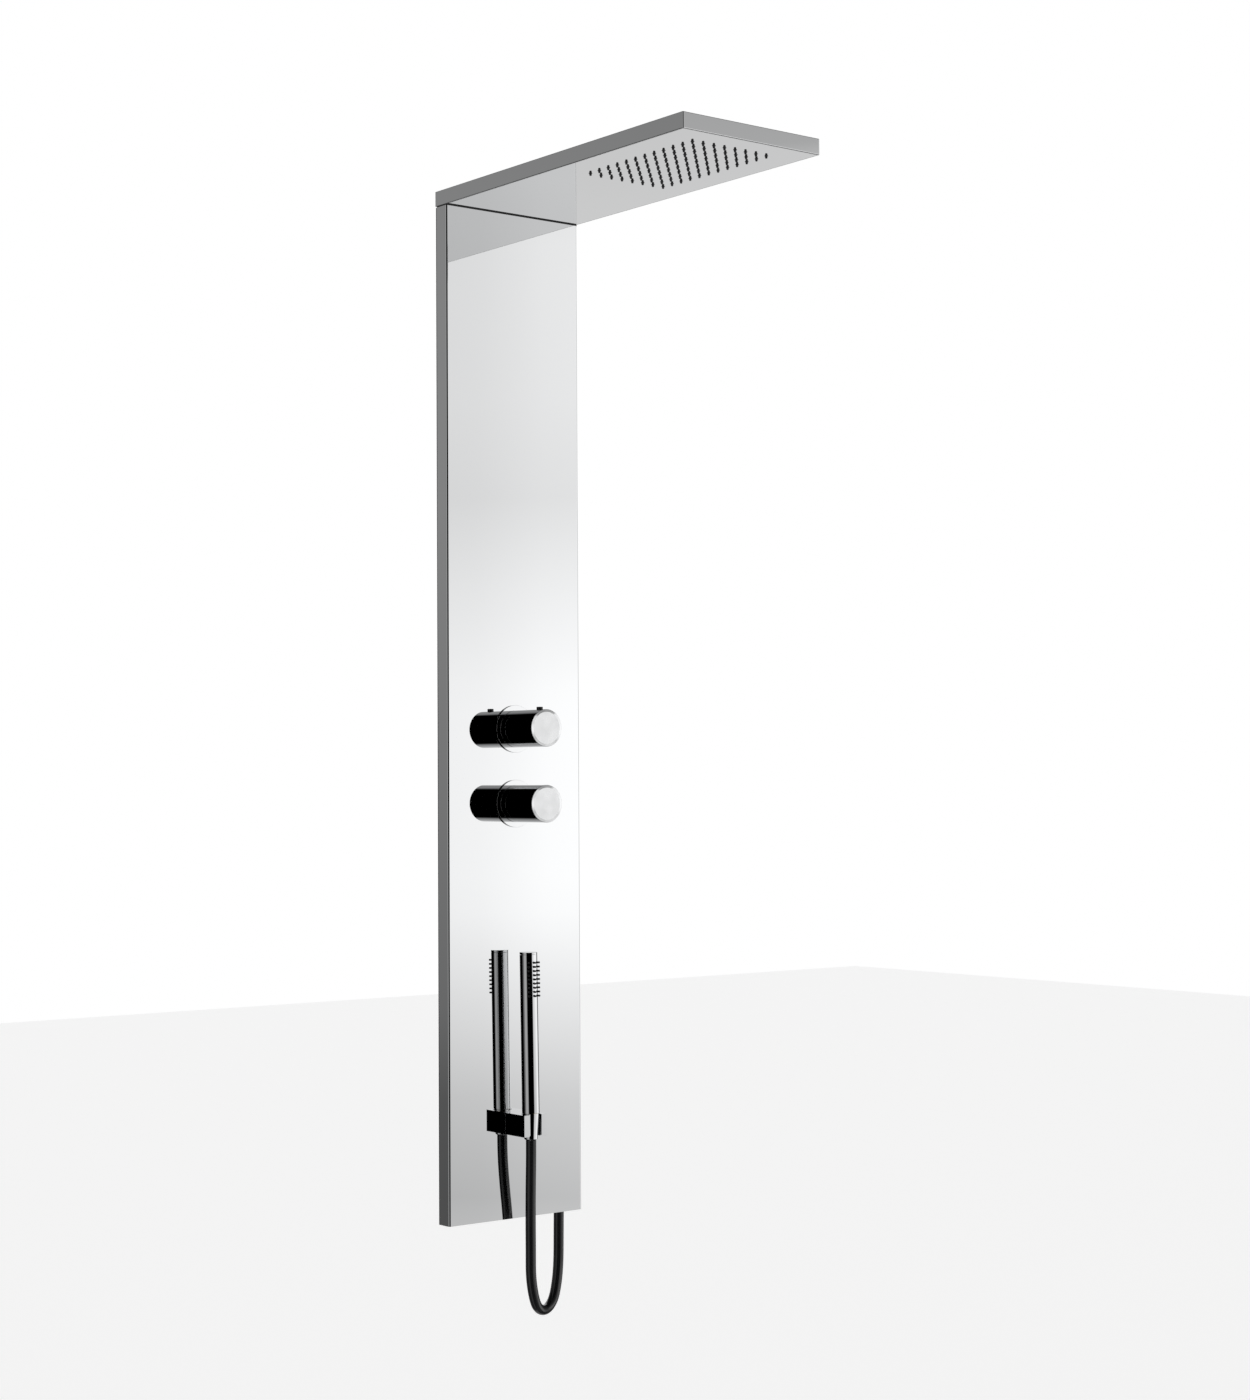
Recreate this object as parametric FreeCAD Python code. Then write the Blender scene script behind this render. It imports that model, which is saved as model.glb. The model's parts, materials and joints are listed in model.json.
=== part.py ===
import FreeCAD, Part
import math
import os

# Rainfall shower column: a folded mirror-steel column with a flat rain arm on top, two round
# controls, and a stick handset in a square bracket, fed by a hose that stows in the column.
# Frame: X across the width, -Y out of the wall, +Z up. The wall is the plane y = 0 and the
# origin is the middle of the upper wall bracket's two screw holes. Millimetres.

V = FreeCAD.Vector
os.makedirs("parts", exist_ok=True)

# --- overall sizes ---
width = 220.0                 # column and arm
column_height = 1360.0        # column's lower edge to the arm's underside
casing_depth = 22.3           # folded depth of the column casing
wall_gap = 2.7                # casing's back edge to the wall
seal_depth = 1.5              # black strip on the casing's back edge
arm_reach = 522.0             # wall to the arm's front end
arm_height = 20.4
arm_above_bracket = 80.0      # arm's underside above the upper wall bracket
skin = 1.5                    # column sheet
arm_skin = 1.2                # arm and spray plate sheet
arm_edge_radius = 1.0         # along the arm's edges
arm_corner_radius = 1.6       # down the arm's front corners
bend_radius = 3.0             # outside radius of the sheet bends
plate_gap = 0.6               # shadow gap round the spray plate
gasket_height = 1.5
seat_gap = 0.15               # between a fixed piece and the pocket that it sits in
running_gap = 0.05            # radial, shaft in its bearing
moving_gap = 0.4              # between bodies that pass each other
screw_radius = 1.9            # M4 screws inside the column
screw_hole_radius = 2.1
rivet_radius = 1.5
rivet_hole_radius = 1.6
rivet_head_radius = 3.0

# --- frame and wall brackets ---
rail_sheet = 1.4
rail_side = 17.0              # rail's leg along the casing's side
rail_flange = 16.0            # rail's leg along the back
rail_setback = 2.5            # wall to the rail's back face
bar_height = 40.0
bracket_width = 190.0
bracket_height = 44.0
bracket_sheet = 2.0
hook_width = 30.0
hook_spacing = 70.0
hook_rise = 10.0
wall_hole_spacing = 150.0
wall_hole_radius = 3.5
wall_bracket_spacing = 1060.0

# --- controls ---
temperature_drop = 701.5      # arm's underside to the temperature control's axis
control_spacing = 101.0
knob_radius = 25.0
knob_reach = 72.5             # column face to the knob's end
knob_wall = 2.7
knob_end_wall = 3.0
knob_bevel = 3.6              # shallow polished bevel round the end face
knob_bevel_drop = 0.6
escutcheon_radius = 32.0
escutcheon_height = 2.6
escutcheon_gap = 0.9          # escutcheon to the knob's open end
neck_radius = 18.0
neck_reach = 26.0             # column face to the valve neck's end
cartridge_radius = 14.8
spindle_radius = 4.0
hub_radius = 8.5
button_radius = 4.25
button_from_end = 15.7        # button's axis to the knob's end face
button_proud = 3.5
spring_wire = 0.35            # wire's radius
spring_coil = 3.2
spring_turns = 4
spring_steps = 10             # straight steps in a turn, joined by arcs

# --- valve and pipes ---
valve_width = 90.0
valve_above = 34.0            # body above the temperature axis
valve_below = 32.0            # body below the diverter axis
valve_depth = 15.6
pipe_radius = 5.0
riser_radius = 6.0
pipe_bend = 20.0
pipe_wall = 1.0
stub_radius = 7.0             # valve body's pipe stubs
stub_length = 9.0
water_way = 3.5               # radius of the ways through the hose's fittings
nut_wall = 1.0                # pipe nuts' wall
inlet_spacing = 150.0
inlet_rise = 150.0            # inlets above the temperature axis
inlet_thread_radius = 9.3     # G 1/2 female, minor radius
inlet_thread_length = 9.0
inlet_elbow_radius = 11.5
inlet_elbow_depth = 17.5
inlet_setback = 2.0           # wall to the inlet's mouth
check_valve_radius = 6.0
check_valve_length = 4.8

# --- rain head ---
beam_width = 10.0             # arm bracket's beam and post
beam_height = 12.0
beam_wall = 2.0
post_length = 150.0
nozzles_across = 8
nozzles_along = 12
nozzle_pitch_x = 17.0
nozzle_pitch_y = 18.4
grid_from_front = 43.0        # arm's front end to the nearest row
nozzle_radius = 2.2
nozzle_tip_radius = 1.3
nozzle_hole_radius = 2.6
nozzle_bore = 0.45
nozzle_proud = 3.2
mat_height = 1.8
chamber_margin = 13.0         # grid's outer rows to the chamber's outside
chamber_wall = 3.0
chamber_height = 8.0
lid_height = 2.0

# --- handset, bracket and hose ---
handset_drop = 1001.2         # arm's underside to the handset's top
handset_length = 214.4
handset_radius = 12.0
handset_wall = 2.2
handset_stand_off = 33.0      # column face to the handset's axis
cap_height = 3.0
cap_plug = 5.0
spray_rows = 9
spray_columns = 3
spray_pitch = 5.55
spray_angle = 35.0            # degrees between columns
spray_from_top = 13.7
spray_hole_radius = 1.6
spray_tip_radius = 1.25
spray_bore = 0.35
spray_proud = 3.6
handset_lean = 0.8            # degrees to the left, as it rests in its loose swivel
swivel_gap = 0.25             # radial, so that the handset can lean
cone_length = 36.0
cone_inset = 0.6              # cone's top inside the handset's outline
cone_taper = 2.2              # radius lost down the cone
block_width = 37.0
block_depth = 43.6
block_height = 29.0
block_below_handset = 1.8
slot_over_hose = 5.6
liner_wall = 1.2
lift_off = 0.3                # seat to cone
hose_radius = 7.0
hose_nut_radius = 9.9

# The hose's route, from the cone nut, round its loop, in through the grommet, over a hairpin
# inside the casing and down to its union.
hose_route = [
    (0.0, -58.0, -1172.0),
    (0.0, -58.0, -1197.0),
    (1.2, -55.0, -1238.0),
    (3.6, -51.2, -1282.0),
    (4.9, -49.6, -1322.0),
    (4.9, -49.4, -1358.2),
    (14.6, -44.8, -1391.5),
    (26.2, -39.1, -1403.6),
    (41.5, -31.5, -1408.0),
    (56.8, -23.9, -1403.6),
    (68.4, -18.2, -1391.5),
    (78.1, -13.4, -1358.2),
    (79.0, -13.0, -1300.0),
    (80.2, -13.0, -1205.0),
    (80.6, -13.0, -1100.0),
    (80.0, -13.0, -995.0),
    (78.6, -13.0, -907.0),
    (49.0, -13.0, -866.0),
    (1.0, -13.0, -850.5),
    (-47.0, -13.0, -866.0),
    (-77.0, -13.0, -907.0),
    (-79.2, -13.0, -995.0),
    (-78.2, -13.0, -1094.0),
    (-77.0, -13.0, -1156.0),
    (-77.0, -13.0, -1190.0),
]

# --- places worked out from the sizes ---
column_top = arm_above_bracket
column_bottom = column_top - column_height
face_y = -(wall_gap + casing_depth)
inside_y = face_y + skin
rail_back = -rail_setback
bar_back = rail_back - rail_sheet
bar_front = bar_back - rail_sheet
riser_nut_radius = riser_radius + nut_wall
mid_y = bar_front - 0.1 - riser_nut_radius      # pipes inside the casing, just clear of the bars
hose_y = hose_route[-1][1]                      # hose inside the casing
feed_radius = riser_radius - 2.0                # arm feed pipe
cone_top_radius = handset_radius - cone_inset
cone_bottom_radius = cone_top_radius - cone_taper
slot_width = 2 * hose_radius + slot_over_hose
temperature_z = column_top - temperature_drop
diverter_z = temperature_z - control_spacing
control_heights = {"temperature": temperature_z, "diverter": diverter_z}
valve_top = temperature_z + valve_above
valve_bottom = diverter_z - valve_below
valve_front = bar_front - valve_depth
knob_end_y = face_y - knob_reach
knob_start_y = face_y - escutcheon_height - escutcheon_gap
neck_end_y = face_y - neck_reach
button_y = knob_end_y + button_from_end
handset_y = face_y - handset_stand_off
handset_top = column_top - handset_drop
handset_bottom = handset_top - handset_length
block_top = handset_bottom - block_below_handset
block_bottom = block_top - block_height
cone_top = handset_bottom - moving_gap
cone_bottom = cone_top - cone_length
grid_front_y = -arm_reach + grid_from_front
grid_back_y = grid_front_y + (nozzles_along - 1) * nozzle_pitch_y
arm_top = column_top + arm_height
plate_top = column_top + arm_skin
union = V(*hose_route[-1])
grommet_x = 79.25
side_x = width / 2 - skin
opening_x = side_x - 1.2                        # the column's open top, half width
hand_pipe_x = -96.0


def box(x0, x1, y0, y1, z0, z1):
    """A block between two corners given in any order."""
    low = V(min(x0, x1), min(y0, y1), min(z0, z1))
    return Part.makeBox(abs(x1 - x0), abs(y1 - y0), abs(z1 - z0), low)


def rod(radius, start, end):
    """A cylinder from one point to another."""
    way = V(*end) - V(*start)
    return Part.makeCylinder(radius, way.Length, V(*start), way)


def ring(outer, inner, start, end):
    """A tube from one point to another."""
    return rod(outer, start, end).cut(rod(inner, start, end))


def turned(profile, base, axis):
    """A solid of revolution: profile is a list of (distance along axis, radius)."""
    axis = V(*axis)
    side = V(0, 0, 1) if abs(axis.z) < 0.5 else V(1, 0, 0)
    points = [V(*base) + axis * along + side * radius for along, radius in profile]
    face = Part.Face(Part.makePolygon(points + [points[0]]))
    return face.revolve(V(*base), axis, 360)


def screw_head(radius, height, place, way):
    """A low domed screw head: its underside's middle, and the way it points."""
    outline = [(0, 0), (0, radius), (0.5 * height, 0.94 * radius), (height, 0.65 * radius), (height, 0)]
    return turned(outline, place, way)


def hexagon(across_flats, start, end):
    """A hexagonal bar along Z."""
    radius = across_flats / math.sqrt(3)
    corners = []
    for k in range(7):
        turn = math.radians(60 * k + 30)
        corners.append(V(start[0] + radius * math.cos(turn), start[1] + radius * math.sin(turn), start[2]))
    return Part.Face(Part.makePolygon(corners)).extrude(V(0, 0, end[2] - start[2]))


def round_edges(shape, radius, wanted):
    """Rounds the edges that the test function picks."""
    edges = [edge for edge in shape.Edges if wanted(edge)]
    return shape.makeFillet(radius, edges) if edges else shape


def is_vertical(edge):
    way = edge.Vertexes[-1].Point - edge.Vertexes[0].Point
    return way.Length > 1 and abs(way.z) > 0.99 * way.Length


def tube_along(points, radius, bend=None, name=None):
    """A round tube on straight runs joined by tangent arcs; bend=None gives the largest arcs."""
    points = [V(*p) for p in points]
    edges = []
    radii = []
    last = points[0]
    for before, corner, after in zip(points, points[1:], points[2:]):
        back = (before - corner)
        out = (after - corner)
        shorter = min(back.Length, out.Length)
        back.normalize()
        out.normalize()
        half_turn = (math.pi - back.getAngle(out)) / 2
        arc_radius = bend if bend else 0.45 * shorter / math.tan(half_turn)
        reach = arc_radius * math.tan(half_turn)
        start, end = corner + back * reach, corner + out * reach
        inward = (back + out)
        inward.normalize()
        centre_way = arc_radius / math.cos(half_turn)
        middle = corner + inward * (centre_way - arc_radius)
        edges.append(Part.LineSegment(last, start).toShape())
        edges.append(Part.Arc(start, middle, end).toShape())
        radii.append(arc_radius)
        last = end
    edges.append(Part.LineSegment(last, points[-1]).toShape())
    wire = Part.Wire(edges)
    way = points[1] - points[0]
    section = Part.Wire(Part.makeCircle(radius, points[0], way))
    solid = wire.makePipeShell([section], True, False)
    if name:
        ideal = math.pi * radius ** 2 * wire.Length
        print(name, "radii", [round(r) for r in radii], "length", round(wire.Length, 1),
              "volume ratio", round(solid.Volume / ideal, 4))
    return solid


def mirrored(shape):
    return shape.mirror(V(0, 0, 0), V(1, 0, 0))


def save(name, *solids):
    """Writes one node; several solids make a group."""
    shape = solids[0] if len(solids) == 1 else Part.makeCompound(list(solids))
    shape.exportStep("parts/" + name + ".step")


# --- wall brackets, frame ---

def wall_bracket(z):
    plate = box(-bracket_width / 2, bracket_width / 2, 0, -bracket_sheet,
                z - bracket_height / 2, z + bracket_height / 2)
    shelf_z = z + bracket_height / 2
    lip_back = bar_front - moving_gap
    for side in (-1, 1):
        x0 = side * hook_spacing / 2 - hook_width / 2
        x1 = x0 + hook_width
        plate = plate.fuse(box(x0, x1, 0, lip_back - bracket_sheet, shelf_z - bracket_sheet, shelf_z))
        plate = plate.fuse(box(x0, x1, lip_back, lip_back - bracket_sheet, shelf_z - bracket_sheet,
                               shelf_z + hook_rise))
    for side in (-1, 1):
        x = side * wall_hole_spacing / 2
        plate = plate.cut(rod(wall_hole_radius, (x, 1, z), (x, -bracket_sheet - 1, z)))
    return plate.removeSplitter()


def bar_at(z_low, height=bar_height):
    reach = side_x - seat_gap - rail_sheet - 0.5
    return box(-reach, reach, bar_back, bar_front, z_low, z_low + height)


def frame_rail():
    """Right-hand rail: an angle with one leg on the casing's side and one along the back."""
    outer = side_x - seat_gap
    low, high = column_bottom + 8, column_top - gasket_height - 6
    leg = box(outer - rail_sheet, outer, rail_back, rail_back - rail_side, low, high)
    flange = box(outer - rail_flange, outer, rail_back, rail_back - rail_sheet, low, high)
    return leg.fuse(flange).removeSplitter()


def rivets(heights, x):
    """Low-headed rivets that join the bars to the rails' flanges."""
    made = []
    for z in heights:
        for side in (-1, 1):
            shank = rod(rivet_radius, (side * x, rail_back, z), (side * x, bar_front, z))
            head = rod(rivet_head_radius, (side * x, bar_front, z), (side * x, bar_front - 1.0, z))
            made.append(shank.fuse(head).removeSplitter())
    return made


def with_holes(shape, heights, x, radius=rivet_hole_radius):
    for z in heights:
        for side in (-1, 1):
            shape = shape.cut(rod(radius, (side * x, 0, z), (side * x, -12, z)))
    return shape


def make_frame():
    upper_bar = bracket_height / 2
    lower_bar = upper_bar - wall_bracket_spacing
    foot_bar = column_bottom + 12
    rivet_x = side_x - seat_gap - rail_flange / 2
    plate_low, plate_high = valve_bottom - 14, valve_top + 14
    heights = [upper_bar + bar_height / 2, lower_bar + bar_height / 2, foot_bar + bar_height / 2,
               plate_low + 12, plate_high - 12]
    rail = with_holes(frame_rail(), heights, rivet_x)
    save("upper_wall_bracket", wall_bracket(0))
    save("lower_wall_bracket", wall_bracket(-wall_bracket_spacing))
    save("right_frame_rail", rail)
    save("left_frame_rail", mirrored(rail))
    bars = [with_holes(bar_at(z), heights, rivet_x) for z in (upper_bar, lower_bar, foot_bar)]
    for x, z in foot_screw_places():
        bars[-1] = bars[-1].cut(rod(screw_hole_radius, (x, 0, z), (x, -12, z)))
    save("frame_crossbars", *bars)
    save("frame_rivets", *rivets(heights, rivet_x))
    plate = with_holes(bar_at(plate_low, plate_high - plate_low), heights, rivet_x)
    for x, z in valve_screw_places():
        plate = plate.cut(rod(screw_hole_radius, (x, 0, z), (x, -12, z)))
    save("valve_plate", plate)
    return foot_bar


def foot_screw_places():
    return [(x, column_bottom + 24) for x in (-40, 40)]


def valve_screw_places():
    x = valve_width / 2 - 8
    return [(-x, valve_top - 8), (x, valve_top - 8), (-x, valve_bottom + 8), (x, valve_bottom + 8)]


# --- column casing and its bottom plate ---

def make_column():
    top = column_top - gasket_height
    outer = box(-width / 2, width / 2, -wall_gap, face_y, column_bottom, top)
    front_edges = lambda edge: is_vertical(edge) and edge.Vertexes[0].Y < face_y + 0.1
    outer = round_edges(outer, bend_radius, front_edges)
    inner = box(-side_x, side_x, 1, inside_y, column_bottom - 1, top + 1)
    inner_edges = lambda edge: is_vertical(edge) and edge.Vertexes[0].Y < inside_y + 0.1
    inner = round_edges(inner, bend_radius - skin, inner_edges)
    casing = outer.cut(inner)
    for z in control_heights.values():
        hole = neck_radius + 2.0
        casing = casing.cut(rod(hole, (0, face_y - 1, z), (0, inside_y + 1, z)))
    for x, z in bracket_screw_places():
        casing = casing.cut(rod(2.6, (x, face_y - 1, z), (x, inside_y + 1, z)))
    save("column_casing", casing)
    seal = box(-width / 2, -side_x, -wall_gap, -wall_gap + seal_depth, column_bottom, top)
    save("back_edge_seals", seal, mirrored(seal))

    plate = box(-side_x + seat_gap, side_x - seat_gap, -wall_gap, inside_y + seat_gap,
                column_bottom, column_bottom + skin)
    plate = round_edges(plate, bend_radius - skin, inner_edges_of(inside_y + seat_gap))
    plate = plate.cut(rod(hose_radius + 1.9, (grommet_x, hose_y, column_bottom - 1),
                          (grommet_x, hose_y, column_bottom + skin + 1)))
    tabs = [box(x - 9, x + 9, bar_front, bar_front - skin, column_bottom + skin, column_bottom + 34)
            for x, z in foot_screw_places()]
    for tab in tabs:
        plate = plate.fuse(tab)
    plate = plate.removeSplitter()
    screws = []
    for x, z in foot_screw_places():
        plate = plate.cut(rod(screw_hole_radius, (x, 0, z), (x, -12, z)))
        head_y = bar_front - skin
        shank = rod(screw_radius, (x, bar_back, z), (x, head_y, z))
        head = screw_head(3.6, 2.2, (x, head_y, z), (0, -1, 0))
        socket = rod(1.2, (x, head_y - 3, z), (x, head_y - 1.0, z))
        screws.append(shank.fuse(head).cut(socket).removeSplitter())
    save("bottom_plate", plate)
    save("bottom_plate_screws", *screws)

    body = hose_radius + 1.8
    z0 = column_bottom
    profile = [(0, hose_radius + 0.7), (0, body), (skin, body), (skin, hose_radius + 3.0),
               (skin + 2.0, hose_radius + 3.0), (skin + 2.0, body), (skin + 6.0, body - 0.4),
               (skin + 6.0, hose_radius + 0.7)]
    save("hose_grommet", turned(profile, (grommet_x, hose_y, z0), (0, 0, 1)))


def inner_edges_of(y):
    return lambda edge: is_vertical(edge) and edge.Vertexes[0].Y < y + 0.1


# --- arm ---

def make_arm():
    outer = box(-width / 2, width / 2, 0, -arm_reach, column_top, arm_top)
    front_corners = lambda edge: is_vertical(edge) and edge.Vertexes[0].Y < -arm_reach + 1
    outer = round_edges(outer, arm_corner_radius, front_corners)
    rims = lambda edge: edge.BoundBox.ZLength < 0.1 and edge.BoundBox.YMin < -1
    outer = round_edges(outer, arm_edge_radius, rims)
    wall = width / 2 - arm_skin
    inner = box(-wall, wall, -arm_skin, -arm_reach + arm_skin, column_top - 1, arm_top - arm_skin)
    save("arm_casing", outer.cut(inner))

    edge = wall - plate_gap
    plate = box(-edge, edge, -arm_skin - plate_gap, -arm_reach + arm_skin + plate_gap, column_top, plate_top)
    plate = plate.cut(box(-opening_x, opening_x, -4, inside_y + 1, column_top - 1, plate_top + 1))
    holes = [rod(nozzle_hole_radius, (x, y, column_top - 1), (x, y, plate_top + 1))
             for x, y in nozzle_places()]
    save("spray_plate", plate.cut(holes))

    gasket = box(-width / 2 + 0.4, width / 2 - 0.4, -wall_gap - 0.4, face_y + 0.4,
                 column_top - gasket_height, column_top)
    gasket = gasket.cut(box(-opening_x, opening_x, -4.5, inside_y + 1, column_top - 3, column_top + 1))
    save("arm_gasket", gasket)


def nozzle_places():
    across = [(k - (nozzles_across - 1) / 2) * nozzle_pitch_x for k in range(nozzles_across)]
    along = [grid_front_y + k * nozzle_pitch_y for k in range(nozzles_along)]
    return [(x, y) for y in along for x in across]


def make_arm_brackets():
    """Two angle brackets: a post screwed to each rail, and a beam that carries the arm."""
    post_x = side_x - seat_gap - rail_sheet
    web_x = post_x - beam_width
    in_x = web_x + beam_wall
    beam_low, beam_high = plate_top, plate_top + beam_height
    post_low = column_top - post_length
    beam = box(web_x, post_x, -3.0, -arm_reach + 8, beam_low, beam_high)
    hollow = box(in_x, post_x + 1, -6, -arm_reach + 7, beam_low + beam_wall, beam_high - beam_wall)
    post = box(web_x, post_x, -7.0, inside_y + 3, post_low, beam_low + 1)
    post_hollow = box(in_x, post_x + 1, -9.0, inside_y + 5, post_low - 1, beam_low - beam_wall)
    bracket = beam.fuse(post).cut(hollow).cut(post_hollow).removeSplitter()
    heights = (post_low + 15, post_low + 60, post_low + 105)
    screw_y = -14.0
    screws = []
    for z in heights:
        bracket = bracket.cut(rod(screw_hole_radius, (web_x - 2, screw_y, z), (in_x + 1, screw_y, z)))
    for z in heights:
        x = web_x
        shank = rod(screw_radius, (x, screw_y, z), (in_x, screw_y, z))
        head = screw_head(2.9, 2.0, (x, screw_y, z), (-1, 0, 0))
        screws.append(shank.fuse(head).removeSplitter())
    save("arm_brackets", bracket, mirrored(bracket))
    save("arm_bracket_screws", *(screws + [mirrored(s) for s in screws]))


def make_rain_chamber():
    half_x = (nozzles_across - 1) * nozzle_pitch_x / 2 + chamber_margin
    y0, y1 = grid_back_y + chamber_margin, grid_front_y - chamber_margin
    mat_top = plate_top + mat_height
    lid_low = mat_top + chamber_height
    mat = box(-half_x, half_x, y0, y1, plate_top, mat_top)
    through = column_top - nozzle_proud
    tips = []
    for x, y in nozzle_places():
        height = plate_top - through + 0.4
        tips.append(Part.makeCone(nozzle_tip_radius, nozzle_radius, height, V(x, y, through)))
    mat = mat.multiFuse(tips)
    bores = [rod(nozzle_bore, (x, y, through - 1), (x, y, mat_top + 1)) for x, y in nozzle_places()]
    save("rain_nozzle_mat", mat.cut(bores).removeSplitter())

    frame = box(-half_x, half_x, y0, y1, mat_top, lid_low)
    wall = chamber_wall
    frame = frame.cut(box(-half_x + wall, half_x - wall, y0 - wall, y1 + wall, mat_top - 1, lid_low + 1))
    lid = box(-half_x, half_x, y0, y1, lid_low, lid_low + lid_height)
    boss_y = y0 - 12
    boss_z = plate_top + mat_height + chamber_height / 2
    socket = box(-11, 11, y0, y0 + 14, mat_top, lid_low + lid_height)
    port = rod(riser_radius + 0.1, (0, y0 + 15, boss_z), (0, y0 + 4, boss_z))
    feed = rod(3.4, (0, y0 + 5, boss_z), (0, boss_y, boss_z))
    frame = frame.fuse(socket).cut(port).cut(feed).removeSplitter()
    places = [(sx * (half_x - wall / 2), y) for sx in (-1, 1)
              for y in (y0 - wall / 2, (y0 + y1) / 2, y1 + wall / 2)]
    screws = []
    for x, y in places:
        cut = rod(1.1, (x, y, mat_top + 1), (x, y, lid_low + lid_height + 1))
        frame = frame.cut(cut)
        lid = lid.cut(cut)
        shank = rod(1.0, (x, y, mat_top + 1.2), (x, y, lid_low + lid_height))
        head = screw_head(2.2, 1.4, (x, y, lid_low + lid_height), (0, 0, 1))
        screws.append(shank.fuse(head).removeSplitter())
    save("rain_chamber_frame", frame)
    save("rain_chamber_lid", lid)
    save("rain_chamber_screws", *screws)
    return boss_z, y0 + 14


# --- valve, pipes ---

def pipe_stub(side, z, way_x):
    """A stub on the valve body's side, and the way through it to way_x from the middle."""
    wall_x = valve_width / 2
    stub = rod(stub_radius, (side * (wall_x - 1), mid_y, z), (side * (wall_x + stub_length), mid_y, z))
    way = rod(pipe_radius + seat_gap, (side * way_x, mid_y, z),
              (side * (wall_x + stub_length + 1), mid_y, z))
    return stub, way


def make_valve():
    y_back, y_front = bar_front, valve_front
    body = box(-valve_width / 2, valve_width / 2, y_back, y_front, valve_bottom, valve_top)
    waist = box(-valve_width / 2 - 1, -30, y_back + 1, y_front - 1, diverter_z + 24, temperature_z - 24)
    body = body.cut(waist).cut(mirrored(waist))
    body = round_edges(body, 3.0, lambda e: e.BoundBox.YLength > valve_depth - 1)
    for z in control_heights.values():
        body = body.fuse(rod(neck_radius, (0, y_front + 1, z), (0, neck_end_y, z)))
        pocket = rod(cartridge_radius + seat_gap, (0, y_back - 4, z), (0, neck_end_y - 1, z))
        body = body.cut(pocket)
    for side in (-1, 1):
        stub, way = pipe_stub(side, temperature_z, 22)
        body = body.fuse(stub).cut(way)
    riser_bore = rod(riser_radius + seat_gap, (0, mid_y, valve_top - 12), (0, mid_y, valve_top + 9))
    riser_boss = rod(riser_nut_radius, (0, mid_y, valve_top - 1), (0, mid_y, valve_top + 8))
    body = body.fuse(riser_boss).cut(riser_bore)
    hand_z = hand_outlet_z()
    stub, way = pipe_stub(-1, hand_z, 24)
    body = body.fuse(stub).cut(way)
    screws = []
    for x, z in valve_screw_places():
        body = body.cut(rod(screw_hole_radius, (x, y_back + 1, z), (x, y_front - 1, z)))
        shank = rod(screw_radius, (x, bar_back, z), (x, y_front, z))
        head = screw_head(3.4, 1.8, (x, y_front, z), (0, -1, 0))
        screws.append(shank.fuse(head).removeSplitter())
    save("valve_body", body.removeSplitter())
    save("valve_screws", *screws)


def hand_outlet_z():
    return diverter_z - 12.0


def inlet_elbow(x, z, pipe_end):
    """An elbow with its threaded mouth towards the wall and its pipe below, and its check valve."""
    mouth = -inlet_setback
    thread_end = mouth - inlet_thread_length
    pocket_end = thread_end - check_valve_length
    way_y = pocket_end - 1.2
    body = rod(inlet_elbow_radius, (x, mouth, z), (x, mouth - inlet_elbow_depth, z))
    body = body.fuse(rod(riser_nut_radius, (x, mid_y, pipe_end - 10), (x, mid_y, z - inlet_thread_radius)))
    body = body.cut(rod(inlet_thread_radius, (x, mouth + 1, z), (x, thread_end, z)))
    body = body.cut(rod(check_valve_radius + seat_gap, (x, thread_end + 1, z), (x, pocket_end, z)))
    body = body.cut(rod(pipe_radius + seat_gap, (x, mid_y, pipe_end - 11), (x, mid_y, pipe_end)))
    body = body.cut(rod(3.0, (x, pocket_end + 1, z), (x, pocket_end - 2.4, z)))
    body = body.cut(rod(1.6, (x, way_y, pipe_end - 1), (x, way_y, z)))
    check = ring(check_valve_radius, 3.0, (x, thread_end - 0.2, z), (x, pocket_end, z))
    return body.removeSplitter(), check


def bent_pipe(route):
    """A pipe with its bore, round the bends of a route."""
    bore = tube_along(route, pipe_radius - pipe_wall, pipe_bend)
    return tube_along(route, pipe_radius, pipe_bend).cut(bore)


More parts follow.
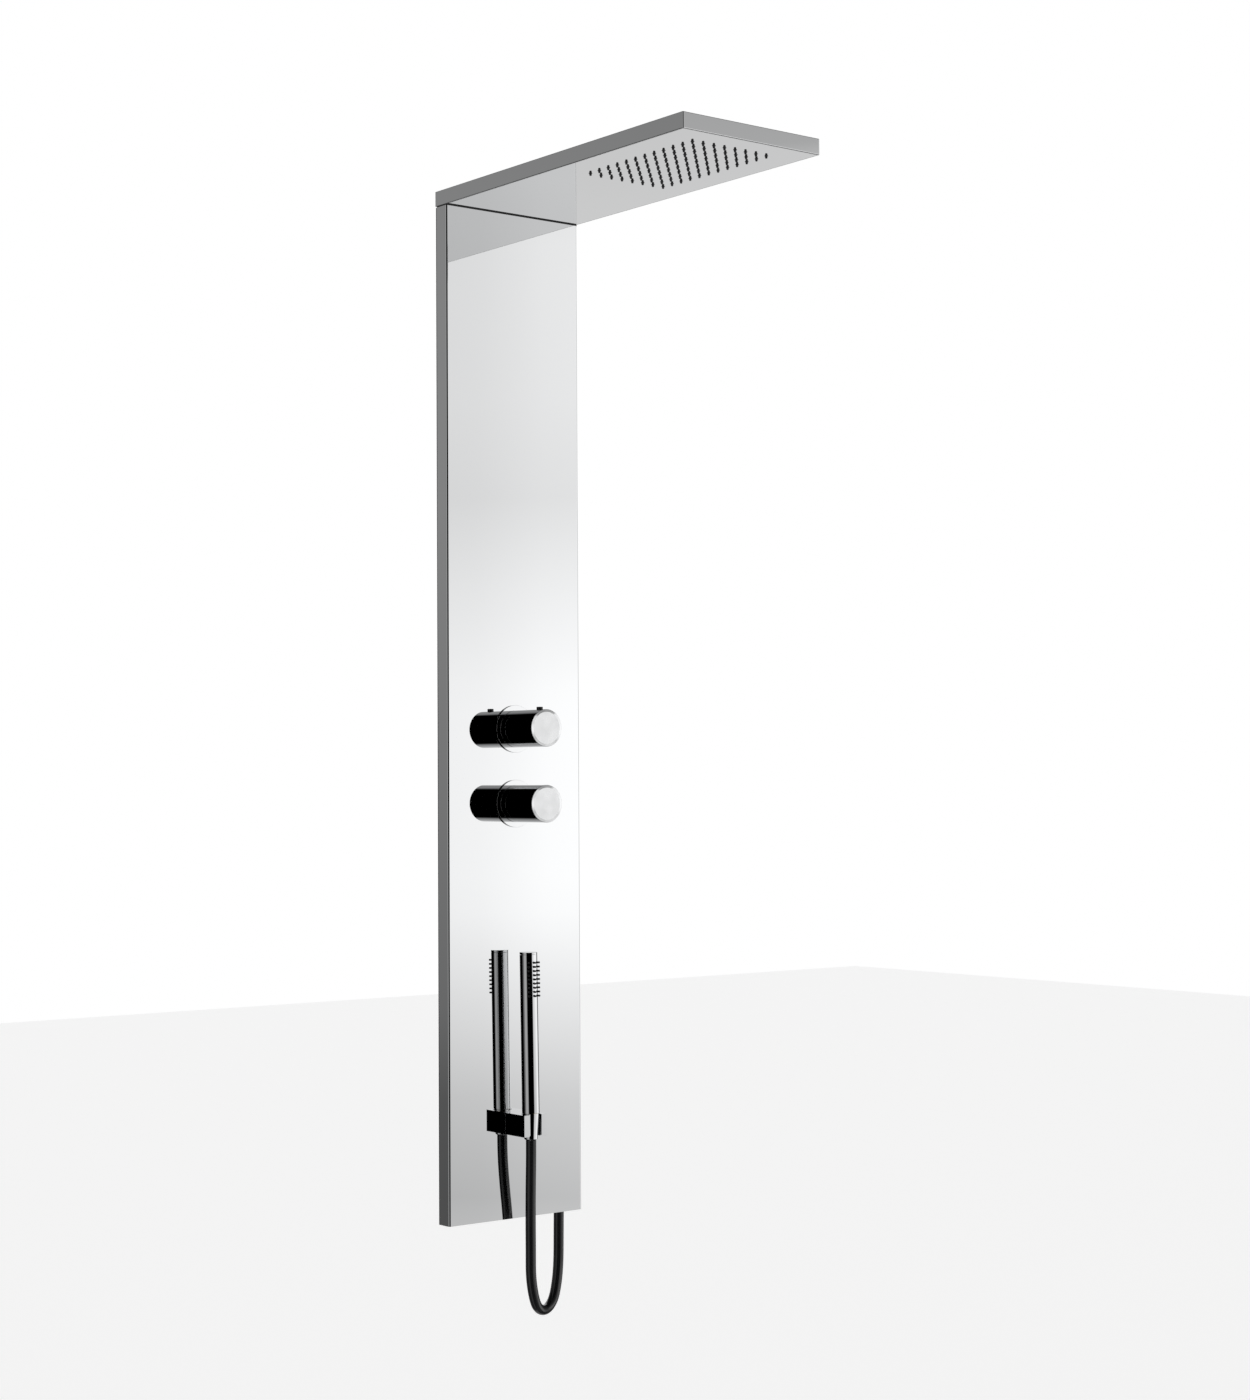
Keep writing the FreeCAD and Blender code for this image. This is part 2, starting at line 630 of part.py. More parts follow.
def make_pipes(boss_z, chamber_port_y):
    stub_x = valve_width / 2
    inlet_z = temperature_z + inlet_rise
    pipe_end = inlet_z - inlet_elbow_radius - 0.5
    elbows, checks = [], []
    for side, name in ((-1, "hot_inlet_pipe"), (1, "cold_inlet_pipe")):
        x = side * inlet_spacing / 2
        start = (side * (stub_x - 3), mid_y, temperature_z)
        save(name, bent_pipe([start, (x, mid_y, temperature_z), (x, mid_y, pipe_end)]))
        elbow, check = inlet_elbow(x, inlet_z, pipe_end)
        elbows.append(elbow)
        checks.append(check)
    save("inlet_elbows", *elbows)
    save("inlet_check_valves", *checks)

    elbow_low = column_top - 16
    riser_ends = (0, mid_y, valve_top - 4), (0, mid_y, elbow_low + 8)
    save("riser_pipe", ring(riser_radius, riser_radius - pipe_wall, *riser_ends))
    elbow = rod(riser_radius + 1.8, (0, mid_y, elbow_low), (0, mid_y, boss_z + 5.5))
    elbow = elbow.fuse(box(-8.5, 8.5, mid_y, mid_y - 26, boss_z - 5.5, boss_z + 5.5))
    elbow = elbow.cut(rod(riser_radius + seat_gap, (0, mid_y, elbow_low - 1), (0, mid_y, elbow_low + 12)))
    elbow = elbow.cut(rod(4.0, (0, mid_y, elbow_low), (0, mid_y, boss_z)))
    elbow = elbow.cut(rod(4.0, (0, mid_y, boss_z), (0, mid_y - 20, boss_z)))
    elbow = elbow.cut(rod(feed_radius + seat_gap, (0, mid_y - 18, boss_z), (0, mid_y - 27, boss_z)))
    save("head_elbow", elbow.removeSplitter())
    feed_ends = (0, mid_y - 20, boss_z), (0, chamber_port_y - 8, boss_z)
    save("arm_feed_pipe", ring(feed_radius, feed_radius - pipe_wall, *feed_ends))
    nuts = []
    gland = feed_radius + seat_gap
    for y in (mid_y - 26, chamber_port_y + 5):
        nuts.append(ring(gland + 1.45, gland, (0, y, boss_z), (0, y - 5, boss_z)))
    wide = riser_radius + seat_gap
    for z in (valve_top + 8, elbow_low - 6):
        nuts.append(ring(riser_nut_radius, wide, (0, mid_y, z), (0, mid_y, z + 6)))
    save("pipe_nuts", *nuts)

    hand_z = hand_outlet_z()
    elbow_top = union.z - 14
    end = (hand_pipe_x, mid_y, elbow_top - 8)
    save("hand_supply_pipe", bent_pipe([(-stub_x + 3, mid_y, hand_z), (hand_pipe_x, mid_y, hand_z), end]))
    block = box(hand_pipe_x - 8, union.x + 9, mid_y + 7, mid_y - 7, elbow_top - 24, elbow_top)
    block = round_edges(block, 2.5, lambda e: e.BoundBox.YLength > 13)
    seat = (hand_pipe_x, mid_y, elbow_top - 12)
    block = block.cut(rod(pipe_radius + seat_gap, seat, (hand_pipe_x, mid_y, elbow_top + 1)))
    block = block.fuse(rod(6.2, (union.x, hose_y, elbow_top - 1), (union.x, hose_y, union.z)))
    way_z = elbow_top - 16
    block = block.cut(rod(water_way, (union.x, hose_y, way_z), (union.x, hose_y, union.z + 1)))
    block = block.cut(rod(water_way, (hand_pipe_x, mid_y, way_z), (hand_pipe_x, mid_y, elbow_top)))
    block = block.cut(rod(water_way, (hand_pipe_x, mid_y, way_z), (union.x, hose_y, way_z)))
    save("hand_supply_elbow", block.removeSplitter())
    nut = ring(hose_nut_radius, 6.2 + seat_gap, (union.x, hose_y, elbow_top), (union.x, hose_y, union.z))
    save("hose_end_nut", nut)


# --- controls ---

def knob_profile():
    """Outline of a hollow knob along its axis from the open end, radius second."""
    length = knob_start_y - knob_end_y
    inner = knob_radius - knob_wall
    bevel_start = length - knob_bevel_drop
    return [(0, inner), (0, knob_radius - 0.3), (0.3, knob_radius), (bevel_start - 0.4, knob_radius),
            (bevel_start, knob_radius - 0.4), (length, knob_radius - knob_bevel),
            (length, 0), (length - knob_end_wall, 0), (length - knob_end_wall, inner)]


def knob_insert(z):
    """Splined plastic insert: a disc in the knob and a hub on the spindle."""
    outer = knob_radius - knob_wall - 0.1
    disc_start = neck_end_y - 8
    disc = ring(outer, hub_radius - 1, (0, disc_start, z), (0, disc_start - 4, z))
    hub = rod(hub_radius, (0, disc_start, z), (0, knob_end_y + knob_end_wall + 2, z))
    bore = rod(spindle_radius + 0.1, (0, disc_start + 1, z), (0, spindle_end_y() - 0.2, z))
    return disc.fuse(hub).cut(bore).removeSplitter()


def spindle_end_y():
    return knob_end_y + knob_end_wall + 6


def make_controls():
    seals = []
    for name, z in control_heights.items():
        short = "thermostat" if name == "temperature" else name
        cartridge = rod(cartridge_radius, (0, bar_front - 4, z), (0, neck_end_y, z))
        cartridge = cartridge.fuse(rod(cartridge_radius - 2, (0, neck_end_y, z), (0, neck_end_y - 3.5, z)))
        bore = rod(spindle_radius + running_gap, (0, neck_end_y + 16, z), (0, neck_end_y - 4, z))
        cartridge = cartridge.cut(bore)
        cartridge_name = "thermostatic_cartridge" if name == "temperature" else "diverter_cartridge"
        save(cartridge_name, cartridge.removeSplitter())
        nut_bore = cartridge_radius - 2 + seat_gap
        nut = ring(neck_radius, nut_bore, (0, neck_end_y, z), (0, neck_end_y - 3.5, z))
        save(short + "_retaining_nut", nut)
        spindle = rod(spindle_radius, (0, neck_end_y + 15, z), (0, spindle_end_y(), z))
        flat = box(-5, 5, neck_end_y - 14, spindle_end_y(), z + spindle_radius - 0.8, z + 5)
        save(short + "_spindle", spindle.cut(flat))

        base_y = face_y
        inner = neck_radius + 0.3
        profile = [(0, inner), (0, escutcheon_radius), (escutcheon_height - 0.5, escutcheon_radius),
                   (escutcheon_height, escutcheon_radius - 0.5), (escutcheon_height, inner)]
        disc = turned(profile, (0, base_y, z), (0, -1, 0))
        groove = ring(escutcheon_radius - 4, escutcheon_radius - 7, (0, base_y + 1, z), (0, base_y - 0.9, z))
        save(name + "_escutcheon", disc.cut(groove))
        seal_ends = (0, base_y, z), (0, base_y - 0.8, z)
        seals.append(ring(escutcheon_radius - 4.1, escutcheon_radius - 6.9, *seal_ends))

        knob = turned(knob_profile(), (0, knob_start_y, z), (0, -1, 0))
        insert = knob_insert(z)
        grub_y = neck_end_y - 10
        grub_low = knob_radius - knob_wall - 6
        hole = rod(2.1, (0, grub_y, z - grub_low), (0, grub_y, z - knob_radius - 1))
        knob, insert = knob.cut(hole), insert.cut(hole)
        grub = rod(2.0, (0, grub_y, z - grub_low - 0.5), (0, grub_y, z - knob_radius + 0.6))
        grub = grub.cut(rod(0.9, (0, grub_y, z - knob_radius + 2.2), (0, grub_y, z - knob_radius)))
        if name == "temperature":
            bore = rod(button_radius + 0.08, (0, button_y, z + 5), (0, button_y, z + knob_radius + 1))
            pocket = rod(4.6, (0, button_y, z + hub_radius - 1.2), (0, button_y, z + hub_radius + 2))
            knob, insert = knob.cut(bore), insert.cut(pocket)
            make_stop_button(z)
        save(name + "_knob", knob)
        save(name + "_knob_insert", insert)
        save(name + "_knob_grub_screw", grub)
    save("escutcheon_seals", *seals)


def make_stop_button(z):
    top = z + knob_radius + button_proud
    flange_top = z + math.sqrt((knob_radius - knob_wall) ** 2 - (button_radius + 1.2) ** 2) - 0.3
    profile = [(0, 0), (0, button_radius + 1.2), (1.2, button_radius + 1.2), (1.2, button_radius),
               (top - flange_top + 1.2 - 0.5, button_radius), (top - flange_top + 1.2, button_radius - 0.5),
               (top - flange_top + 1.2, 0)]
    save("stop_button", turned(profile, (0, button_y, flange_top - 1.2), (0, 0, 1)))
    low = z + hub_radius - 1.2
    high = flange_top - 1.2
    low_coil, high_coil = low + spring_wire + 0.05, high - spring_wire - 0.05
    steps = spring_turns * spring_steps
    coil = []
    for k in range(steps + 1):
        turn = 2 * math.pi * k / spring_steps
        coil.append((spring_coil * math.cos(turn), button_y + spring_coil * math.sin(turn),
                     low_coil + (high_coil - low_coil) * k / steps))
    coil = tube_along(coil, spring_wire)
    save("stop_button_spring", coil)


# --- handset and bracket ---

def bracket_screw_places():
    z = block_top - block_height / 2
    return [(-13.0, z), (13.0, z)]


def cone_radius(z):
    share = (cone_top - z) / cone_length
    return cone_top_radius + (cone_bottom_radius - cone_top_radius) * share


def cone_solid(z_low, z_high, grow):
    low, high = cone_radius(z_low) + grow, cone_radius(z_high) + grow
    return Part.makeCone(low, high, z_high - z_low, V(0, handset_y, z_low))


def make_bracket():
    block = box(-block_width / 2, block_width / 2, face_y, face_y - block_depth, block_bottom, block_top)
    half, front = slot_width / 2, face_y - block_depth
    slot = box(-half, half, handset_y, front - 1, block_bottom - 1, block_top + 1)
    seat = lift_off + liner_wall
    over = 1.0
    block = block.cut(cone_solid(block_bottom - over, block_top + over, seat + running_gap)).cut(slot)
    hollow = cone_solid(block_bottom - over, block_top + over, lift_off)
    liner = cone_solid(block_bottom, block_top, seat).cut(hollow)
    slot_in_liner = box(-half - 0.1, half + 0.1, handset_y, front - 9, block_bottom - 1, block_top + 1)
    liner = liner.cut(slot_in_liner)
    screws = []
    for x, z in bracket_screw_places():
        block = block.cut(rod(screw_hole_radius, (x, face_y + 1, z), (x, face_y - 14, z)))
        shank = rod(2.0, (x, inside_y, z), (x, face_y - 12, z))
        head = rod(4.0, (x, inside_y, z), (x, inside_y + 2.4, z))
        socket = rod(1.4, (x, inside_y + 3, z), (x, inside_y + 1.0, z))
        screws.append(shank.fuse(head).cut(socket).removeSplitter())
    save("handset_bracket", block)
    save("bracket_liner", liner)
    save("bracket_screws", *screws)


def spray_places():
    """Centre line direction and height of every handset nozzle."""
    columns = [(k - (spray_columns - 1) / 2) * spray_angle for k in range(spray_columns)]
    rows = [handset_top - spray_from_top - k * spray_pitch for k in range(spray_rows)]
    return [(math.radians(a), z) for z in rows for a in columns]


def leaning(shape):
    """Tilts a handset piece about its swivel."""
    shape.rotate(V(0, handset_y, handset_bottom), V(0, 1, 0), -handset_lean)
    return shape


def make_handset():
    inner = handset_radius - handset_wall
    axis_low, axis_high = (0, handset_y, handset_bottom), (0, handset_y, handset_top - cap_height)
    tube = ring(handset_radius, inner, axis_low, axis_high)
    sleeve_outer, sleeve_inner = inner - 0.1, inner - 1.5
    rows_low = handset_top - spray_from_top - (spray_rows - 1) * spray_pitch - 6
    rows_high = handset_top - spray_from_top + 5
    sleeve = ring(sleeve_outer, sleeve_inner, (0, handset_y, rows_low), (0, handset_y, rows_high))
    sleeve = sleeve.cut(box(-20, 20, handset_y - 1.0, handset_y + 20, rows_low - 1, rows_high + 1))
    holes, tips, bores = [], [], []
    for angle, z in spray_places():
        way = V(math.sin(angle), -math.cos(angle), 0)
        centre = V(0, handset_y, z)
        holes.append(Part.makeCylinder(spray_hole_radius, 6, centre + way * (inner - 2), way))
        reach = handset_wall + spray_proud + 0.8
        root = centre + way * (sleeve_outer - 0.7)
        tips.append(Part.makeCone(spray_hole_radius - 0.12, spray_tip_radius, reach, root, way))
        bores.append(Part.makeCylinder(spray_bore, 9, centre + way * (sleeve_inner - 1), way))
    save("handset_tube", leaning(tube.cut(holes)))
    save("handset_nozzle_insert", leaning(sleeve.multiFuse(tips).cut(bores).removeSplitter()))

    whole = cap_plug + cap_height
    profile = [(0, 0), (0, inner - 0.1), (cap_plug, inner - 0.1), (cap_plug, handset_radius),
               (whole - 0.4, handset_radius), (whole, handset_radius - 0.4), (whole, 0)]
    cap = turned(profile, (0, handset_y, handset_top - whole), (0, 0, 1))
    cap = cap.cut(rod(6, (0, handset_y, handset_top - 20), (0, handset_y, handset_top - 5)))
    save("handset_end_cap", leaning(cap))

    stub = inner - 0.15
    connector = ring(stub, 5.0, (0, handset_y, handset_bottom - 10), (0, handset_y, handset_bottom + 22))
    groove_ends = (0, handset_y, handset_bottom + 9), (0, handset_y, handset_bottom + 12)
    groove = ring(stub + 1, stub - 1.2, *groove_ends)
    save("handset_connector", leaning(connector.cut(groove)))

    chamfer = 1.6
    low = cone_bottom + chamfer
    cone = cone_solid(low, cone_top, 0).fuse(
        Part.makeCone(cone_radius(low) - chamfer, cone_radius(low), chamfer, V(0, handset_y, cone_bottom)))
    cone = cone.cut(rod(stub + swivel_gap, (0, handset_y, cone_top - 11), (0, handset_y, cone_top + 1)))
    cone = cone.cut(rod(water_way, (0, handset_y, cone_bottom + 3), (0, handset_y, cone_top)))
    save("hose_cone_nut", cone.removeSplitter())


make_frame()
make_column()
make_arm()
make_arm_brackets()
boss_height, port_y = make_rain_chamber()
make_valve()
make_pipes(boss_height, port_y)
make_controls()
make_bracket()
make_handset()
save("hand_shower_hose", tube_along(hose_route, hose_radius, name="hand_shower_hose"))
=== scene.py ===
# %% [markdown]
# A rainfall shower column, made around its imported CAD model. The column and the flat rain arm
# are folded from mirror-polished stainless steel, so most of what is seen on them is
# reflection. That sets the order of work: the model, the camera and the hose come first, then
# the light that the mirror shows, then the finishes, then each piece that deserves more than
# its CAD shape. Everything is in metres, in the CAD model's own frame: X across the column,
# -Y out of the wall, +Z up.

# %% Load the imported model
import bmesh
import bpy
import json
import math
from mathutils import Matrix, Vector


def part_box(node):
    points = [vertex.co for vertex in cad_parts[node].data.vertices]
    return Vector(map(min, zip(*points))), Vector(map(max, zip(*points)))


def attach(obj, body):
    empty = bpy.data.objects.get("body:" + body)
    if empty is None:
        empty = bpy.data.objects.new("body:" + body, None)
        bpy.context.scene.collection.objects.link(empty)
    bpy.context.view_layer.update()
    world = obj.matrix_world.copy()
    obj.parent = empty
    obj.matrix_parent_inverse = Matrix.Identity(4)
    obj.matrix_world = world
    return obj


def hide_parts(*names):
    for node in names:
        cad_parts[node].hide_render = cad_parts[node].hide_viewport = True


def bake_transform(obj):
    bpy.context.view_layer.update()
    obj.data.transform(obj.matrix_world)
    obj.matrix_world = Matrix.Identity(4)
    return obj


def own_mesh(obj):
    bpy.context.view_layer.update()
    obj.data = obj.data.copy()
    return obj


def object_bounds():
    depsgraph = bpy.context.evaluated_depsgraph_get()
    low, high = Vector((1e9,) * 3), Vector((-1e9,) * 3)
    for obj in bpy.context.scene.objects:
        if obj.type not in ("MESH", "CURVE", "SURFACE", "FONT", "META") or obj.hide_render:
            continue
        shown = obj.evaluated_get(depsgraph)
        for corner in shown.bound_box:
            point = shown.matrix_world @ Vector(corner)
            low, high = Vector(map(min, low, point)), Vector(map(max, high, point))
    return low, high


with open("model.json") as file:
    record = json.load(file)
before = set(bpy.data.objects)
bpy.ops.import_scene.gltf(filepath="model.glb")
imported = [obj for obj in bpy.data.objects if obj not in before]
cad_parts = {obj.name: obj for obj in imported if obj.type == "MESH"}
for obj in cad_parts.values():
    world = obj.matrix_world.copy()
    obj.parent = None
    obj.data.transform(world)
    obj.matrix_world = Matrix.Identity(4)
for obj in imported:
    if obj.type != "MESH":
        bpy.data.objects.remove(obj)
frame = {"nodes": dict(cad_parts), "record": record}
cad_low, cad_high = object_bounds()
cad = frame["nodes"]
bpy.ops.object.select_all(action="DESELECT")
print("CAD nodes:", len(cad), "size:", [round(v, 3) for v in cad_high - cad_low])

# %% [markdown]
# The camera stands to the left of the column, level with its middle, and looks very slightly
# up. A long lens from three and a half metres keeps the column's edges nearly parallel. The
# three angles are the compass direction of the view, its tilt and its roll, which together
# make the camera's three axes.

# %% The camera
camera_place = Vector((-2.0305, -2.8367, -0.6938))
camera_turn, camera_tilt, camera_roll = (math.radians(a) for a in (-38.304, -1.830, -0.318))
lens_length, sensor_width = 65.78, 36.0
nearest_seen, farthest_seen = 0.05, 60.0

def camera_axes(turn, tilt, roll):
    """Right, up and backward directions of a camera at that turn, tilt and roll."""
    back = Vector((math.sin(turn) * math.cos(tilt), -math.cos(turn) * math.cos(tilt),
                   math.sin(tilt)))
    level = (-back).cross(Vector((0, 0, 1))).normalized()
    rise = back.cross(level)
    right = level * math.cos(roll) + rise * math.sin(roll)
    return right, back.cross(right), back

right, up, back = camera_axes(camera_turn, camera_tilt, camera_roll)
turned = Matrix((right, up, back)).transposed().to_4x4()
bpy.ops.object.camera_add(location=camera_place)
camera = bpy.context.object
camera.name = "camera"
camera.matrix_world = Matrix.Translation(camera_place) @ turned
camera.data.lens, camera.data.sensor_width = lens_length, sensor_width
camera.data.clip_start, camera.data.clip_end = nearest_seen, farthest_seen
bpy.context.scene.camera = camera
print("camera looks along", [round(v, 3) for v in -back])

# %% [markdown]
# The hose leaves the cone nut, hangs in one narrow loop and goes up through the grommet into
# the column, where it folds over and comes down to its union. A smooth PVC hose takes one
# flowing line, so its line is a NURBS curve whose control points are the route's corners. The
# order and the end points are set after the points are there, because a new spline forgets
# them. The round tube is that same line with a bevel, turned into a mesh.

# %% The hose's line and tube
hose_diameter = 0.014
line_steps, bevel_steps = 14, 8
hose_route = [
    (0.0, -0.058, -1.172), (0.0, -0.058, -1.197), (0.0012, -0.055, -1.238),
    (0.0036, -0.0512, -1.282), (0.0049, -0.0496, -1.322), (0.0049, -0.0494, -1.3582),
    (0.0146, -0.0448, -1.3915), (0.0262, -0.0391, -1.4036), (0.0415, -0.0315, -1.408),
    (0.0568, -0.0239, -1.4036), (0.0684, -0.0182, -1.3915), (0.0781, -0.0134, -1.3582),
    (0.079, -0.013, -1.300), (0.0802, -0.013, -1.205), (0.0806, -0.013, -1.100),
    (0.080, -0.013, -0.995), (0.0786, -0.013, -0.907), (0.049, -0.013, -0.866),
    (0.001, -0.013, -0.8505), (-0.047, -0.013, -0.866), (-0.077, -0.013, -0.907),
    (-0.0792, -0.013, -0.995), (-0.0782, -0.013, -1.094), (-0.077, -0.013, -1.156),
    (-0.077, -0.013, -1.190),
]

def hose_curve(bevel):
    """The hose's line as a curve object, with a round bevel or with none."""
    data = bpy.data.curves.new("hose_line", "CURVE")
    data.dimensions, data.resolution_u = "3D", line_steps
    data.bevel_depth, data.bevel_resolution = bevel, bevel_steps
    spline = data.splines.new("NURBS")
    spline.points.add(len(hose_route) - 1)
    for point, place in zip(spline.points, hose_route):
        point.co = (*place, 1.0)
    spline.order_u, spline.use_endpoint_u = 3, True
    curve = bpy.data.objects.new("hose_line", data)
    bpy.context.scene.collection.objects.link(curve)
    bpy.context.view_layer.update()
    return curve

def line_points(curve):
    """Points along a curve that has no bevel."""
    depsgraph = bpy.context.evaluated_depsgraph_get()
    line = bpy.data.meshes.new_from_object(curve.evaluated_get(depsgraph))
    return [v.co.copy() for v in line.vertices]

bare_line = hose_curve(0.0)
hose_path = line_points(bare_line)
bpy.data.objects.remove(bare_line)
hose = hose_curve(hose_diameter / 2)
bpy.context.view_layer.objects.active = hose
hose.select_set(True)
bpy.ops.object.convert(target="MESH")
hose = bpy.context.object
hose.name = "shower_hose"
bpy.ops.object.shade_smooth()
bpy.ops.object.select_all(action="DESELECT")
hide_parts("hand_shower_hose")
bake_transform(hose)
measured = sum((b - a).length for a, b in zip(hose_path, hose_path[1:]))
print("hose:", len(hose.data.polygons), "faces,", round(measured, 3), "m")

# %% [markdown]
# A mirror has no look of its own: it shows the room. The light here is one large soft panel to
# the right of the column. Its near side is shaded in bands from top to bottom, and its far
# side is plainer. A grey wall stands behind the column to the right, a dimmer one behind it to
# the left and a grey strip straight to its left. The room in front, on the camera's side, is
# dark. A world that is worked out from the direction gives all of that with no lamps, so
# nothing shows as a spot in the steel. Lamps in soft boxes would do too, but they would have to
# be moved to set each edge. What the camera sees directly is plain white.

# %% The light
def node(tree, kind, place, **values):
    """One shader node; values that name a socket set it, the rest are its own settings."""
    made = tree.nodes.new(kind)
    made.location = place
    for key, value in values.items():
        if key in made.inputs:
            made.inputs[key].default_value = value
        else:
            setattr(made, key, value)
    return made

def ramp(tree, place, stops, easing="LINEAR"):
    """A ColorRamp of greys, from a list of (position, brightness)."""
    made = tree.nodes.new("ShaderNodeValToRGB")
    made.location = place
    made.color_ramp.interpolation = easing
    elements = made.color_ramp.elements
    while len(elements) < len(stops):
        elements.new(0.5)
    for element, (position, grey) in zip(elements, stops):
        element.position = position
        element.color = (grey, grey, grey, 1.0)
    return made

def by_height(stops):
    """Stops given by height above the horizon in degrees, spread over a ramp."""
    return [((height + 90.0) / 180.0, grey) for height, grey in stops]

def by_compass(stops):
    """Stops given in degrees from straight out of the wall, -180 to 180, over a ramp."""
    return [((turn + 180.0) / 360.0, grey) for turn, grey in stops]

soft_panel = by_height([(-60, 0.05), (-38, 0.10), (-30, 0.35), (-13.5, 0.71), (-10.5, 0.63),
                        (-9.2, 0.52), (-7.1, 0.62), (-4.9, 0.80), (-2.6, 1.0), (1.8, 1.0),
                        (4.1, 0.89), (6.3, 0.76), (8.5, 0.80), (12.6, 0.81), (13.8, 0.38),
                        (16.0, 0.33), (30, 0.30), (38, 0.10), (60, 0.05)])
left_wall = by_height([(-60, 0.05), (-9.2, 0.075), (-7.1, 0.085), (-4.9, 0.135), (0.0, 0.175),
                       (6.3, 0.215), (12, 0.215), (16, 0.19), (28, 0.19), (33, 0.03), (60, 0.03)])
right_wall = by_height([(-60, 0.30), (-16, 0.51), (-9, 0.54), (0, 0.60), (28, 0.60), (33, 0.05),
                        (60, 0.03)])
panel_reach = by_compass([(-180, 0.0), (7, 0.0), (11, 0.45), (16, 0.88), (30, 0.85),
                          (34.3, 0.85), (35.6, 0.90), (37.0, 1.0), (50, 1.0), (58, 0.0)])
far_panel = by_height([(-60, 0.05), (-38, 0.10), (-30, 0.90), (13.8, 0.95), (17.0, 0.33),
                       (30, 0.30), (38, 0.10), (60, 0.05)])
far_reach = by_compass([(-180, 0.0), (50, 0.0), (58, 1.0), (78, 0.92), (88, 0.35), (92, 0.10),
                        (110, 0.0)])
right_reach = by_compass([(-180, 0.0), (112, 0.0), (125, 1.0), (165, 1.0), (180, 0.3)])
left_reach = by_compass([(-180, 1.0), (-120, 1.0), (-95, 0.0), (180, 0.0)])
left_strip = by_compass([(-180, 0.0), (-108, 0.0), (-95, 0.34), (-70, 0.34), (-60, 0.0),
                         (180, 0.0)])
room_strength, row_step = 1.39, 460

world = bpy.data.worlds.new("studio")
bpy.context.scene.world = world
world.use_nodes = True
tree = world.node_tree
tree.nodes.clear()
way = node(tree, "ShaderNodeTexCoord", (-1400, 0))
parts = node(tree, "ShaderNodeSeparateXYZ", (-1200, 0))
tree.links.new(way.outputs["Generated"], parts.inputs[0])
outward = node(tree, "ShaderNodeMath", (-1000, 120), operation="MULTIPLY")
outward.inputs[1].default_value = -1.0
tree.links.new(parts.outputs["Y"], outward.inputs[0])
compass = node(tree, "ShaderNodeMath", (-820, 60), operation="ARCTAN2")
tree.links.new(parts.outputs["X"], compass.inputs[0])
tree.links.new(outward.outputs[0], compass.inputs[1])
compass_share = node(tree, "ShaderNodeMapRange", (-640, 60))
compass_share.inputs["From Min"].default_value = -math.pi
compass_share.inputs["From Max"].default_value = math.pi
tree.links.new(compass.outputs[0], compass_share.inputs["Value"])
height = node(tree, "ShaderNodeMath", (-820, -160), operation="ARCSINE")
tree.links.new(parts.outputs["Z"], height.inputs[0])
height_share = node(tree, "ShaderNodeMapRange", (-640, -160))
height_share.inputs["From Min"].default_value = -math.pi / 2
height_share.inputs["From Max"].default_value = math.pi / 2
tree.links.new(height.outputs[0], height_share.inputs["Value"])

def patch(reach, heights, row):
    """One part of the room: its reach round the compass times its brightness by height."""
    across = ramp(tree, (-420, row), reach)
    tree.links.new(compass_share.outputs[0], across.inputs[0])
    if heights is None:
        return across.outputs[0]
    upward = ramp(tree, (-420, row - 220), heights)
    tree.links.new(height_share.outputs[0], upward.inputs[0])
    both = node(tree, "ShaderNodeMath", (-140, row), operation="MULTIPLY")
    tree.links.new(across.outputs[0], both.inputs[0])
    tree.links.new(upward.outputs[0], both.inputs[1])
    return both.outputs[0]

light = patch(panel_reach, soft_panel, 600)
rest_of_room = [(far_reach, far_panel), (right_reach, right_wall), (left_reach, left_wall),
                (left_strip, None)]
for k, (reach, heights) in enumerate(rest_of_room, start=1):
    row = 600 - row_step * k
    one = patch(reach, heights, row)
    total = node(tree, "ShaderNodeMath", (60, row), operation="ADD")
    tree.links.new(light, total.inputs[0])
    tree.links.new(one, total.inputs[1])
    light = total.outputs[0]
room = node(tree, "ShaderNodeBackground", (260, 0), Strength=room_strength)
tree.links.new(light, room.inputs["Color"])
backdrop = node(tree, "ShaderNodeBackground", (260, -160), Color=(1, 1, 1, 1), Strength=1.0)
seen = node(tree, "ShaderNodeLightPath", (260, 200))
either = node(tree, "ShaderNodeMixShader", (460, 0))
tree.links.new(seen.outputs["Is Camera Ray"], either.inputs[0])
tree.links.new(room.outputs[0], either.inputs[1])
tree.links.new(backdrop.outputs[0], either.inputs[2])
tree.links.new(either.outputs[0], node(tree, "ShaderNodeOutputWorld", (660, 0)).inputs[0])
print("the room has", len(tree.nodes), "nodes")

# %% [markdown]
# The real column hangs on a wall and has no floor of its own, so this one is only a stage: a
# wide pale plane, three quarters of a metre under the hose's loop. It could be a plane that the
# lamps light, but there are no lamps here, so its paint gives off most of its own light. The
# steel must not mirror it, or its lower half would turn white, and so it is hidden from glossy
# rays.

# %% The floor
floor_drop, floor_size = 0.75, 24.0
floor_grey, floor_glow, floor_roughness = 0.9, 0.75, 0.9
bpy.ops.mesh.primitive_grid_add(x_subdivisions=8, y_subdivisions=8, size=floor_size,
                                location=(0, 0, cad_low.z - floor_drop))
floor = bpy.context.object
floor.name = "studio_floor"
floor.visible_glossy = False
floor_paint = bpy.data.materials.new("pale_floor")
floor_paint.use_nodes = True
paint = floor_paint.node_tree.nodes["Principled BSDF"]
paint.inputs["Base Color"].default_value = (floor_grey, floor_grey, floor_grey, 1)
paint.inputs["Roughness"].default_value = floor_roughness
paint.inputs["Emission Color"].default_value = (1, 1, 1, 1)
paint.inputs["Emission Strength"].default_value = floor_glow
floor.data.materials.append(floor_paint)
bpy.ops.object.select_all(action="DESELECT")
bpy.context.scene.view_settings.view_transform = "Standard"
bpy.context.scene.render.film_transparent = False
print("floor at", round(cad_low.z - floor_drop, 3))

